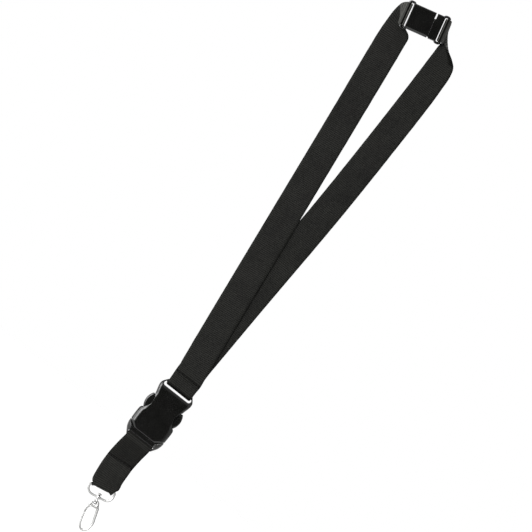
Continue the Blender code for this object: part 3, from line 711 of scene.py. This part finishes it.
def left_leg():
    pairs = [
        ((-53.6, -5.4, 400.8), (-44.5, -4.9, 384.3)),
        ((-54.8, -3.7, 396.5), (-40.0, -3.3, 384.6)),
        ((-55.4, -3.0, 389.5), (-34.0, -3.0, 383.2)),
        ((-55.1, -3.0, 380.0), (-30.8, -3.0, 379.8)),
    ]
    tilt = math.radians(7.25)
    along = Vector((-math.sin(tilt), 0.0, math.cos(tilt)))
    across = Vector((math.cos(tilt), 0.0, math.sin(tilt))) * HALF_WIDTH
    foot = Vector((0.25, 0.0, 39.0))
    rows = [(335.0, -3.0, 0.0), (250.0, -3.7, 0.0), (130.0, -4.9, -0.25)]
    rows += [(40.0, -5.6, -0.35), (12.0, -5.7, -0.2)]
    for length, y, bow in rows:
        centre = foot + along * length + Vector((bow, y, 0.0))
        pairs.append((centre - across, centre + across))
    return pairs


def rows_to_pairs(rows):
    return [((x - HALF_WIDTH, y, z), (x + HALF_WIDTH, y, z)) for z, y, x in rows]


def frame_loop():
    radius = BAR_RADIUS + NECK_BAR_GAP + HALF_THICK
    rows = [(39.0, -5.75, 0.25), (33.0, -6.7, 0.15)]
    for angle in (180, 225, 270, 315, 360):
        z = NECK_BAR_Z + radius * math.sin(math.radians(angle))
        y = BUCKLE_Y + radius * math.cos(math.radians(angle))
        rows.append((z, y, 0.15))
    rows += [(33.0, -3.3, -0.1), (39.0, -4.3, -0.5)]
    return rows_to_pairs(rows)


def right_leg():
    rows = [(52.0, -4.2, -0.8), (120.0, -3.8, 1.3), (225.0, -3.2, 5.1), (300.0, -3.0, 6.0)]
    return rows_to_pairs(rows) + [
        ((-6.6, -3.0, 350.0), (18.4, -3.0, 350.0)),
        ((-6.75, -3.0, 364.0), (17.8, -3.0, 364.0)),
        ((-6.9, -3.0, 374.0), (17.0, -3.0, 375.5)),
        ((-7.0, -3.0, 382.0), (14.4, -3.0, 383.8)),
        ((-7.1, -3.0, 387.0), (9.0, -3.1, 388.6)),
        ((-7.2, -3.1, 390.0), (2.6, -3.4, 392.6)),
        ((-6.9, -3.5, 391.8), (-3.2, -4.2, 398.4)),
        ((-5.6, -4.9, 393.2), (-8.5, -5.6, 406.4)),
    ]


def tab_pairs():
    rows = [(-57.0, -4.0, -1.9), (-51.0, -4.0, -2.1), (-40.0, -3.3, -1.4), (-33.0, -2.7, -0.5)]
    radius = BAR_RADIUS + TAB_BAR_GAP + HALF_THICK
    for angle in (0, 45, 90, 135, 180):
        z = TAB_BAR_Z + radius * math.sin(math.radians(angle))
        y = BUCKLE_Y + radius * math.cos(math.radians(angle))
        rows.append((z, y, 0.0))
    rows += [(-33.0, -7.0, -0.5), (-40.0, -6.2, -1.4), (-51.0, -5.4, -2.1), (-60.0, -5.6, -1.9)]
    rows += [(-67.0, -6.1, -1.2)]
    pairs = rows_to_pairs(rows)
    radius = WIRE_RADIUS + WIRE_GAP + HALF_THICK
    tilt = math.radians(HOOK_TILT)
    run = Vector((math.cos(tilt), 0.0, math.sin(tilt))) * RING_HALF
    wide = run * 12.3 / RING_HALF
    centre = Vector(RING_AT)
    for drop, y, reach in ((3.2, -6.6, wide), (1.3, -6.8, run * 1.11)):
        point = centre + Vector((-0.3, y - centre.y, drop))
        pairs.append((point - reach, point + reach))
    for angle, reach in ((180, 1.05), (225, 1.0), (270, 0.98), (315, 0.99), (360, 1.03)):
        turn = math.radians(angle)
        point = centre + Vector((0.0, radius * math.cos(turn), radius * math.sin(turn)))
        pairs.append((point - run * reach, point + run * reach))
    for drop, y, reach in ((1.3, -3.1, run * 1.12), (3.2, -3.0, wide)):
        point = centre + Vector((-0.3, y - centre.y, drop))
        pairs.append((point - reach, point + reach))
    inner = [(-65.0, -2.7, -1.4), (-57.0, -2.6, -1.9), (-51.0, -2.6, -2.1), (-46.0, -2.3, -1.9)]
    return pairs + rows_to_pairs(inner)


def wrap_bands(lengths, light_end, slot_highlight, light):
    """Painted light and shade of the webbing on a bar: a painted highlight where it leaves the slot,
    painted shade on top, and a painted highlight outside.
    """
    slot, top = lengths[2], lengths[4]
    step = math.copysign(1.0, top - slot)
    before, after = top - step, top + step * 0.6
    bands = [
        (slot, slot, before, before, *ALL_ACROSS, slot_highlight),
        (before, before, after, after, *ALL_ACROSS, 0.35),
        (after, after, *light_end, *ALL_ACROSS, light),
    ]
    ordered = []
    for band in bands:
        ends = (band[:2], band[2:4]) if step > 0.0 else (band[2:4], band[:2])
        ordered.append((*ends[0], *ends[1], *band[4:]))
    return ordered


def build_neck_webbing():
    wrap = hub_wrap(-1.0)
    leg = left_leg()
    loop = frame_loop()
    climb = right_leg()
    low = Webbing(wrap + leg + loop + climb[:1])
    front = low.control[len(wrap) + len(leg)]
    back = low.control[len(wrap) + len(leg) + len(loop) - 1]
    fold, after = low.control[len(wrap)], low.control[len(wrap) + 1]
    # Painted highlight and shade round the socket's bar, and painted shade on the webbing's bend round
    # the buckle's bar.
    bands = wrap_bands(low.control, (fold + 0.55 * (after - fold), fold), 9.0, 2.5)
    bend = front + 12.2
    bands.append((bend, bend, bend + 8.0, bend + 8.0, *ALL_ACROSS, 0.4))
    grooves = [(front, 0.0, SEAM_DEPTH), (back, 0.0, SEAM_DEPTH), (front + 2.2, 0.0, 0.10)]
    plies = web_object("neck_webbing", low, grooves, bands)
    dress(plies, WEB, "neck_loop", "webbing", "neck_strap")
    seam = stitches("neck_seam_front", low, front, 1.0)
    dress(seam, THREAD, "neck_loop", "thread", "neck_seam_thread")
    seam = stitches("neck_seam_back", low, back, 1.0)
    dress(seam, THREAD, "neck_loop", "thread", "neck_seam_bobbin")
    near_socket = low.control[len(wrap) + 2]
    seam = stitches("socket_seam", low, near_socket, -1.0, depth=HIDDEN_SEAM_DEPTH)
    dress(seam, THREAD, "neck_loop", "thread", "socket_seam_thread")

    high = Webbing(climb + [(b, t) for t, b in reversed(hub_wrap(1.0))], start=low.along[-1])
    ends = high.control[::-1]
    last, before, turn = ends[len(wrap)], ends[len(wrap) + 1], ends[len(wrap) + 2]
    # Painted highlight and shade round the plug's bar, a painted shadow where the wrap meets the leg,
    # and painted shade along the leg's right shoulder.
    bands = wrap_bands(ends, (last, turn), 3.0, 4.0)
    knee = ends[len(wrap) + 4]
    bands.append((before - 1.5, before - 1.5, last, before - 0.5, -1.0, 0.7, 0.3))
    bands.append((knee, knee, before, turn, 0.74, 2.0, 0.4))
    upper = web_object("neck_webbing_plug_side", high, (), bands)
    dress(upper, WEB, None, "webbing", "neck_strap_plug_end")
    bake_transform(upper)
    near_plug = high.control[len(climb) - 5]
    seam = stitches("plug_seam", high, near_plug, 1.0, depth=HIDDEN_SEAM_DEPTH)
    dress(seam, THREAD, "plug", "thread", "plug_seam_thread")


def build_tab_webbing():
    pairs = tab_pairs()
    tab = Webbing(pairs)
    heights = [round(Vector(p).z, 3) for p, q in pairs]
    rows = [i for i, z in enumerate(heights) if z == -51.0]
    front, back = tab.control[rows[1]], tab.control[rows[2]]
    under_front = tab.control[rows[1] + 6]
    under_back = tab.control[rows[1] + 8]

    def droop(run, place, width):
        """Lets the corners below the ring's bar hang a little, with a slight lift beside them."""
        inside = soft_step((run - under_front) / 1.5) * soft_step((under_back - run) / 1.5)
        far = width - place
        left = hump(place, 3.6, 1.3, 0.2) - hump(place, 0.8, 1.2, 0.9)
        right = hump(far, 3.6, 1.2, 0.2) - hump(far, 0.8, 1.2, 1.3)
        return Vector((0.0, 0.0, inside * (left + right)))

    grooves = [(front, -TAB_SEAM_SLANT, SEAM_DEPTH), (back, TAB_SEAM_SLANT, SEAM_DEPTH)]
    # Painted shade on the front ply just below the buckle, down to the front seam.
    shaded = tab.control[rows[1] - 2] - 2.0
    bands = [(shaded, shaded, front, front, *ALL_ACROSS, 0.75)]
    piece = web_object("tab_webbing", tab, grooves, bands, droop)
    dress(piece, WEB, "tab", "webbing", "tab_strap")
    seam = stitches("tab_seam_front", tab, front, 1.0, slant=-TAB_SEAM_SLANT)
    dress(seam, THREAD, "tab", "thread", "tab_seam_thread")
    seam = stitches("tab_seam_back", tab, back, 1.0, slant=TAB_SEAM_SLANT)
    dress(seam, THREAD, "tab", "thread", "tab_seam_bobbin")


build_neck_webbing()
build_tab_webbing()


# ---------------------------------------------------------------- breakaway

def box(low, high):
    outline = [(low[0], low[2]), (high[0], low[2]), (high[0], high[2]), (low[0], high[2])]
    return prism(outline, low[1], high[1])


def hub_steps(side):
    """The end ring, its slot and its round bar."""
    low, high = sorted((side * 12.6, side * (HUB_BAR_U + HUB_BAR_RADIUS)))
    ring = plate(rounded_box(low, -HUB_RING_HALF, high, HUB_RING_HALF, 2.6), 1.4, 1.0)
    low, high = sorted((side * HUB_NECK, side * (HUB_BAR_U - 0.2)))
    slot = prism(rounded_box(low, -10.8, high, 10.8, 1.2), -FAR, FAR)
    vertices, faces = turned([(HUB_BAR_RADIUS, -11.7), (HUB_BAR_RADIUS, 11.7)])
    bar = [(x + side * HUB_BAR_U, y, z) for x, y, z in vertices], faces
    return [("UNION", ring), ("DIFFERENCE", slot), ("UNION", bar)]


def build_breakaway():
    place = frame_at(BREAKAWAY_AT, BREAKAWAY_TILT)
    steps = hub_steps(-1.0)
    steps.append(("DIFFERENCE", box((-7.4, -1.9, -10.0), (8.1, 1.9, 6.2))))
    steps.append(("DIFFERENCE", box((6.1, -FAR, -OUTSIDE), (10.0, FAR, OUTSIDE))))
    for side in (-1.0, 1.0):
        corner = [(side * 3.7, -9.3), (side * 1.5, -11.5), (side * FAR, -OUTSIDE)]
        steps.append(("DIFFERENCE", loft([[(u, y, v) for y, v in corner] for u in (-13.0, 7.0)])))
    steps.insert(0, ("DIFFERENCE", box((-18.0, -FAR, -OUTSIDE), (-HUB_NECK, FAR, OUTSIDE))))
    body = plate(rounded_box(-15.8, -SHELL_HALF, 9.1, SHELL_HALF, 1.2), 3.5, SHELL_EDGE)
    socket = mould(combine("breakaway_socket_shell", body, steps, place), 0.2, 2)
    dress(socket, PLASTIC, "neck_loop", "plastic", "breakaway_socket")

    steps = hub_steps(1.0)
    steps.insert(0, ("DIFFERENCE", box((HUB_NECK, -FAR, -OUTSIDE), (18.0, FAR, OUTSIDE))))
    steps.insert(0, ("DIFFERENCE", box((2.4, -FAR, -OUTSIDE), (6.4, FAR, OUTSIDE))))
    tongue = plate(rounded_box(-6.4, -9.7, 8.4, 5.9, 1.2), 1.6, 0.4)
    steps.append(("UNION", tongue))
    steps.append(("DIFFERENCE", prism(rounded_box(-8.4, -2.7, 4.1, -0.3, 1.1), -4.0, 4.0)))
    steps.append(("DIFFERENCE", box((5.4, -FAR, 6.2), (7.4, FAR, OUTSIDE))))
    steps.append(("DIFFERENCE", box((5.4, -FAR, -OUTSIDE), (7.4, FAR, -10.3))))
    body = plate(rounded_box(3.4, -SHELL_HALF, 15.8, SHELL_HALF, 1.2), 3.4, SHELL_EDGE)
    plug = mould(combine("breakaway_plug_shell", body, steps, place), 0.2, 2)
    dress(plug, PLASTIC, "plug", "plastic", "breakaway_plug")


build_breakaway()


# ---------------------------------------------------------------- buckle

def section(z, half_width, half_thick):
    share = min(max((z - 2.0) / 6.0, 0.0), 1.0)
    radius = min(4.5 - 1.7 * share, half_thick * 0.92)
    outline = rounded_box(-half_width, -half_thick, half_width, half_thick, radius, 10)
    return [(x, y, z) for x, y in outline]


def mouth_line(lift, far):
    """The area between the housing's mouth, moved up by lift, and a level line at height far."""
    edge = [(-19.2, -16.28), (-MOUTH_HALF, MOUTH_Z), (MOUTH_HALF, MOUTH_Z), (19.2, -16.28)]
    return [(x, z + lift) for x, z in edge] + [(19.2, far), (-19.2, far)]


def build_buckle():
    place = frame_at((0.0, BUCKLE_Y, 0.0))
    stations = [
        (MOUTH_Z, MOUTH_HALF, 4.95), (-20.3, 14.3, 5.0), (-19.32, 15.5, 5.0), (-18.33, 16.7, 5.0),
        (-17.5, 17.5, 5.0),
        (-14.0, 17.8, 5.0), (-7.0, 17.8, 5.0), (-4.5, 17.5, 5.0), (-2.8, 16.6, 5.0),
        (5.0, 15.6, 5.0), (10.0, 14.8, 5.0), (13.5, 14.7, 4.95), (17.0, 15.6, 4.8),
        (20.5, 16.4, 4.5), (23.5, 16.3, 3.6), (25.2, 15.5, 2.8), (26.6, 14.5, 2.2),
        (28.0, 13.4, 1.4),
    ]
    housing = loft([section(*station) for station in catmull(stations, 4)])
    cavity = [(-15.7, -24.0), (15.7, -24.0), (15.7, -3.2), (15.4, 12.6), (9.0, 13.2)]
    cavity += [(-9.0, 13.2), (-15.4, 12.6), (-15.7, -3.2)]
    steps = [
        ("DIFFERENCE", prism(cavity, -CAVITY_HALF, CAVITY_HALF)),
        ("DIFFERENCE", prism(mouth_line(1.35, -30.0), -CAVITY_HALF, CAVITY_HALF)),
    ]
    for side in (-1.0, 1.0):
        steps.append(("DIFFERENCE", disc((side * 22.1, 5.5), 10.3, CUT_HALF)))
    slot = arc((-12.0, 24.45), 2.0, 180.0, 270.0, 8) + arc((12.0, 24.45), 2.0, 270.0, 360.0, 8)
    slot += [(14.0, 25.2), (12.95, 26.7), (12.95, 34.0)]
    slot += [(-12.95, 34.0), (-12.95, 26.7), (-14.0, 25.2)]
    steps.append(("DIFFERENCE", prism(slot, -CUT_HALF, CUT_HALF)))
    steps.append(("UNION", rod_along_x(13.3, BAR_RADIUS, NECK_BAR_Z)))
    female = combine("buckle_housing", housing, steps, place)
    dress(mould(female, 0.25, 2), PLASTIC, "female", "plastic", "buckle_female")

    stations = [
        (-28.5, 13.5, 2.4), (-27.6, 14.2, 3.5), (-26.2, 15.1, 4.3), (-24.4, 16.2, 4.7),
        (-22.4, 17.0, 4.85), (-20.0, 17.6, 4.9), (-17.0, 17.75, 4.9),
    ]
    base = loft([section(*station) for station in catmull(stations, 4)])
    recess = [(-13.0, -20.5), (13.0, -20.5), (12.3, -26.0), (-12.3, -26.0)]
    steps = [
        ("DIFFERENCE", prism(mouth_line(-0.4, 0.0), -CUT_HALF, -3.0)),
        ("DIFFERENCE", prism(mouth_line(-0.4, 0.0), 3.0, CUT_HALF)),
        ("DIFFERENCE", prism(mouth_line(0.95, 0.0), -4.0, 4.0)),
        ("DIFFERENCE", prism(recess, -CUT_HALF, -3.9)),
        ("DIFFERENCE", prism(recess, 3.9, CUT_HALF)),
        ("DIFFERENCE", prism(rounded_box(-13.0, -34.0, 13.0, -24.5, 0.4, 2), -3.3, 3.3)),
        ("DIFFERENCE", prism(rounded_box(-13.0, -34.0, 13.0, -25.4, 0.4, 2), -CUT_HALF, CUT_HALF)),
        ("UNION", rod_along_x(13.5, BAR_RADIUS, TAB_BAR_Z)),
        ("UNION", prism(rounded_box(-14.8, -23.0, 14.8, -19.1, 0.6, 2), -2.9, 2.9)),
        ("UNION", plate(rounded_box(-4.2, -22.4, 4.2, 9.5, 2.4), 2.6, 0.5)),
    ]
    male = combine("buckle_base", base, steps, place)
    dress(mould(male, 0.2, 2), PLASTIC, "male", "plastic", "buckle_male")

    for side, name in ((-1.0, "left"), (1.0, "right")):
        stem = arc((12.9, -17.5), 1.3, 180.0, 360.0, 8)
        stem += [(14.5, -11.0), (14.9, -5.0), (15.1, -2.7), (16.2, -1.6)]
        stem += [(16.2, 10.6), (13.0, 10.6), (11.6, 3.0), (11.6, -8.0)]
        pad = arc((5.6, 4.6), 12.4, -35.0, 37.0, 24)
        pad += [(12.8, 11.2), (10.9, 8.0), (10.5, 4.0), (11.3, -1.0)]
        stem = plate([(side * x, z) for x, z in stem], 1.9, 0.4)
        pad = plate([(side * x, z) for x, z in pad], 2.9, 1.5)
        arm = combine("buckle_pad_" + name, stem, [("UNION", pad)], place)
        dress(mould(arm, 0.18, 2), PLASTIC, "arm_" + name, "plastic", "buckle_arm_" + name)


build_buckle()


# ---------------------------------------------------------------- hook

def build_ring():
    place = frame_at(RING_AT, HOOK_TILT)
    path = arc((RING_HALF, -1.3), 1.3, 0.0, 90.0, 6)
    path += arc((-RING_HALF, -1.3), 1.3, 90.0, 180.0, 6)
    path += arc((-5.8, -4.0), 5.6, 180.0, 270.0, 16)
    path += arc((5.8, -4.0), 5.6, 270.0, 360.0, 16)
    points = [Vector((x, 0.0, z)) for x, z in path]
    wire = sweep(points, [(WIRE_RADIUS, WIRE_RADIUS)] * len(points), Y_AXIS, sides=24, closed=True)
    boss = turned([(1.7, -10.9), (2.0, -10.6), (2.0, -8.6), (1.7, -8.3)])
    bore = turned([(1.1, -12.6), (1.1, -6.6)])
    ring = combine("d_ring_wire", wire, [("UNION", boss), ("DIFFERENCE", bore)], place)
    dress(mould(ring, 0.14, 2, 0.5), METAL, "ring", "metal", "d_ring")

    place = frame_at(SWIVEL_AT, HOOK_TILT)
    profile = [(0.6, -6.55), (1.1, -6.45), (1.6, -6.0), (1.65, -5.5), (1.6, -5.0), (1.2, -4.6)]
    profile += [(0.85, -4.4), (0.85, 2.15), (1.5, 2.25), (1.75, 2.5), (1.75, 2.95), (1.5, 3.3)]
    profile += [(1.0, 3.6), (0.4, 3.68)]
    stud = finish_object(new_object("swivel_rivet", turned(profile), place))
    dress(stud, METAL, "ring", "metal", "swivel_stud")


def build_hook():
    place = frame_at(SWIVEL_AT, HOOK_TILT)
    head = [(1.9, -3.0), (3.2, -4.2), (4.1, -6.4), (4.9, -9.0), (4.4, -9.7), (-1.9, -9.5)]
    head += arc(PIN_AT, 1.55, 290.0, 170.0, 8) + [(-3.9, -6.2), (-3.2, -4.2), (-1.9, -3.0)]
    oval = [(4.0, -8.4), (4.7, -12.0), (5.4, -16.8), (6.1, -21.4), (5.7, -24.9), (4.1, -28.3)]
    oval += [(1.6, -30.3), (-0.6, -30.4), (-2.6, -28.8), (-3.7, -25.6), (-4.3, -21.6)]
    oval += [(-4.6, -17.1)]
    line = [(x, 0.0, z) for x, z in oval]
    path = catmull(line, 8)
    radii = []
    for i in range(len(path)):
        share = i / (len(path) - 1)
        radii.append((1.15 - 0.45 * share, 1.4 - 0.5 * share))
    steps = [
        ("UNION", sweep(path, radii, Y_AXIS, sides=24)),
        ("DIFFERENCE", prism(rounded_box(-2.1, -7.7, 2.2, -4.2, 0.5, 4), -4.0, 4.0)),
        ("DIFFERENCE", turned([(1.2, -5.5), (1.2, -2.0)])),
        ("DIFFERENCE", box((-7.0, -1.3, -12.0), (-1.25, 1.3, -6.95))),
        ("DIFFERENCE", disc(PIN_AT, PIN_BORE, 4.0, 32)),
    ]
    body = combine("hook_casting", plate(head, 2.1, 0.5), steps, place)
    dress(mould(body, 0.14, 2, 0.5), METAL, "hook", "metal", "hook_body")

    outline = arc(PIN_AT, 1.35, -30.0, 150.0, 14)
    outline += [(-5.0, -10.2), (-5.6, -12.4), (-5.7, -14.6), (-5.5, -16.7), (-3.9, -16.7)]
    outline += [(-3.9, -14.4), (-3.7, -12.4), (-2.9, -10.7)]
    steps = [
        ("DIFFERENCE", box((-4.5, -0.5, -12.0), (0.0, 0.5, -6.0))),
        ("DIFFERENCE", disc(PIN_AT, PIN_BORE, 4.0, 32)),
    ]
    gate = combine("gate_lever", plate(outline, 1.0, 0.3), steps, place)
    dress(mould(gate, 0.1, 2, 0.5), METAL, "gate", "metal", "hook_gate")

    rivet = plate(arc(PIN_AT, 0.6, 0.0, 360.0 - 360.0 / 32, 31), 2.08, 0.15)
    rivet = finish_object(new_object("gate_rivet", rivet, place))
    dress(rivet, METAL, "hook", "metal", "gate_pin")

    coil = [Vector((-1.5, -0.3, -7.15))]
    for i in range(COIL_STEPS + 1):
        share = i / COIL_STEPS
        angle = math.radians(20.0) + 4.0 * math.pi * share
        x, z = PIN_AT[0] + math.cos(angle), PIN_AT[1] + math.sin(angle)
        coil.append(Vector((x, -0.3 + 0.6 * share, z)))
    coil.append(Vector((-2.6, 0.33, -10.4)))
    wire = sweep(coil, [COIL_RADII] * len(coil), Y_AXIS, sides=10)
    spring = new_object("gate_coil", wire, place)
    dress(finish_object(spring), METAL, "hook", "metal", "gate_spring")


build_ring()
build_hook()


# ---------------------------------------------------------------- studio

def area_light(name, direction, distance, width, height, power):
    lamp = bpy.data.lights.new(name, "AREA")
    lamp.shape = "RECTANGLE"
    lamp.size = width
    lamp.size_y = height
    lamp.energy = power
    obj = bpy.data.objects.new(name, lamp)
    bpy.context.scene.collection.objects.link(obj)
    direction = Vector(direction).normalized()
    obj.location = Vector((0.0, 0.0, 0.15)) + direction * distance
    obj.rotation_mode = "QUATERNION"
    obj.rotation_quaternion = (-direction).to_track_quat("-Z", "Y")
    return obj


def build_world():
    """White to the camera. In reflections it is bright all round but for a dim patch in front."""
    world = bpy.data.worlds.new("studio")
    bpy.context.scene.world = world
    world.use_nodes = True
    tree = world.node_tree
    background = tree.nodes["Background"]
    coordinate = tree.nodes.new("ShaderNodeTexCoord")
    dot = tree.nodes.new("ShaderNodeVectorMath")
    dot.operation = "DOT_PRODUCT"
    dot.inputs[1].default_value = (0.0, -0.5, 0.0)
    tree.links.new(coordinate.outputs["Generated"], dot.inputs[0])
    shift = tree.nodes.new("ShaderNodeMath")
    shift.inputs[1].default_value = 0.5
    tree.links.new(dot.outputs["Value"], shift.inputs[0])
    ramp = tree.nodes.new("ShaderNodeValToRGB")
    stops = ((0.0, 0.35), (0.4, 0.45), (0.65, 0.85), (0.925, 0.80), (0.985, 0.05))
    elements = ramp.color_ramp.elements
    while len(elements) < len(stops):
        elements.new(0.5)
    for element, (position, level) in zip(elements, stops):
        element.position = position
        element.color = (level, level, level, 1.0)
    tree.links.new(shift.outputs[0], ramp.inputs["Fac"])
    path = tree.nodes.new("ShaderNodeLightPath")
    mix = tree.nodes.new("ShaderNodeMix")
    mix.data_type = "RGBA"
    tree.links.new(path.outputs["Is Camera Ray"], mix.inputs["Factor"])
    tree.links.new(ramp.outputs["Color"], mix.inputs["A"])
    mix.inputs["B"].default_value = (1.0, 1.0, 1.0, 1.0)
    tree.links.new(mix.outputs["Result"], background.inputs["Color"])


def build_floor():
    edge = FLOOR_HALF
    corners = [(x, y, FLOOR_Z) for x, y in ((-edge, -edge), (edge, -edge), (edge, edge), (-edge, edge))]
    floor = new_object("floor", (corners, [(0, 1, 2, 3)]))
    n = Nodes("floor")
    split = n.add("ShaderNodeSeparateXYZ")
    n.link(n.add("ShaderNodeNewGeometry").outputs["Position"], split.inputs[0])
    near = n.maths("MULTIPLY_ADD", split.outputs["Y"], 2.5, 2.0)
    near = n.maths("MINIMUM", n.maths("MAXIMUM", near, 0.06), 1.0)
    lit = n.maths("MAXIMUM", near, n.add("ShaderNodeLightPath").outputs["Is Camera Ray"])
    grey = n.add("ShaderNodeCombineColor")
    for channel in ("Red", "Green", "Blue"):
        n.link(n.maths("MULTIPLY", lit, 0.9), grey.inputs[channel])
    n.link(grey.outputs[0], n.shader.inputs["Base Color"])
    n.shader.inputs["Roughness"].default_value = 0.9
    n.shader.inputs["Specular IOR Level"].default_value = 0.1
    n.shader.inputs["Emission Color"].default_value = (1.0, 1.0, 1.0, 1.0)
    n.link(n.maths("MULTIPLY", lit, 0.45), n.shader.inputs["Emission Strength"])
    floor.data.materials.append(n.material)


def build_camera():
    """Square on to the front, rolled so that the lanyard runs across the frame."""
    camera = bpy.data.cameras.new("camera")
    obj = bpy.data.objects.new("camera", camera)
    bpy.context.scene.collection.objects.link(obj)
    roll = math.radians(CAMERA_ROLL)
    right = Vector((math.cos(roll), 0.0, math.sin(roll)))
    up = Vector((-math.sin(roll), 0.0, math.cos(roll)))
    camera.sensor_width = 36.0
    camera.lens = camera.sensor_width * CAMERA_DISTANCE / VIEW_WIDTH
    camera.clip_start = 0.1
    camera.clip_end = 50.0
    matrix = Matrix((right, up, Vector((0.0, -1.0, 0.0)))).transposed().to_4x4()
    matrix.translation = Vector(CAMERA_AIM) - Y_AXIS * CAMERA_DISTANCE
    obj.matrix_world = matrix
    bpy.context.scene.camera = obj


bpy.context.scene.view_settings.view_transform = "Standard"
build_world()
build_floor()
build_camera()
area_light("key", (-0.67, -0.74, 0.0), 1.3, 0.45, 1.2, 18.0)
area_light("key_wide", (-0.66, -0.75, 0.0), 1.35, 1.25, 1.3, 16.0)
area_light("side", (-1.0, -0.20, 0.0), 1.2, 0.7, 1.2, 12.0)
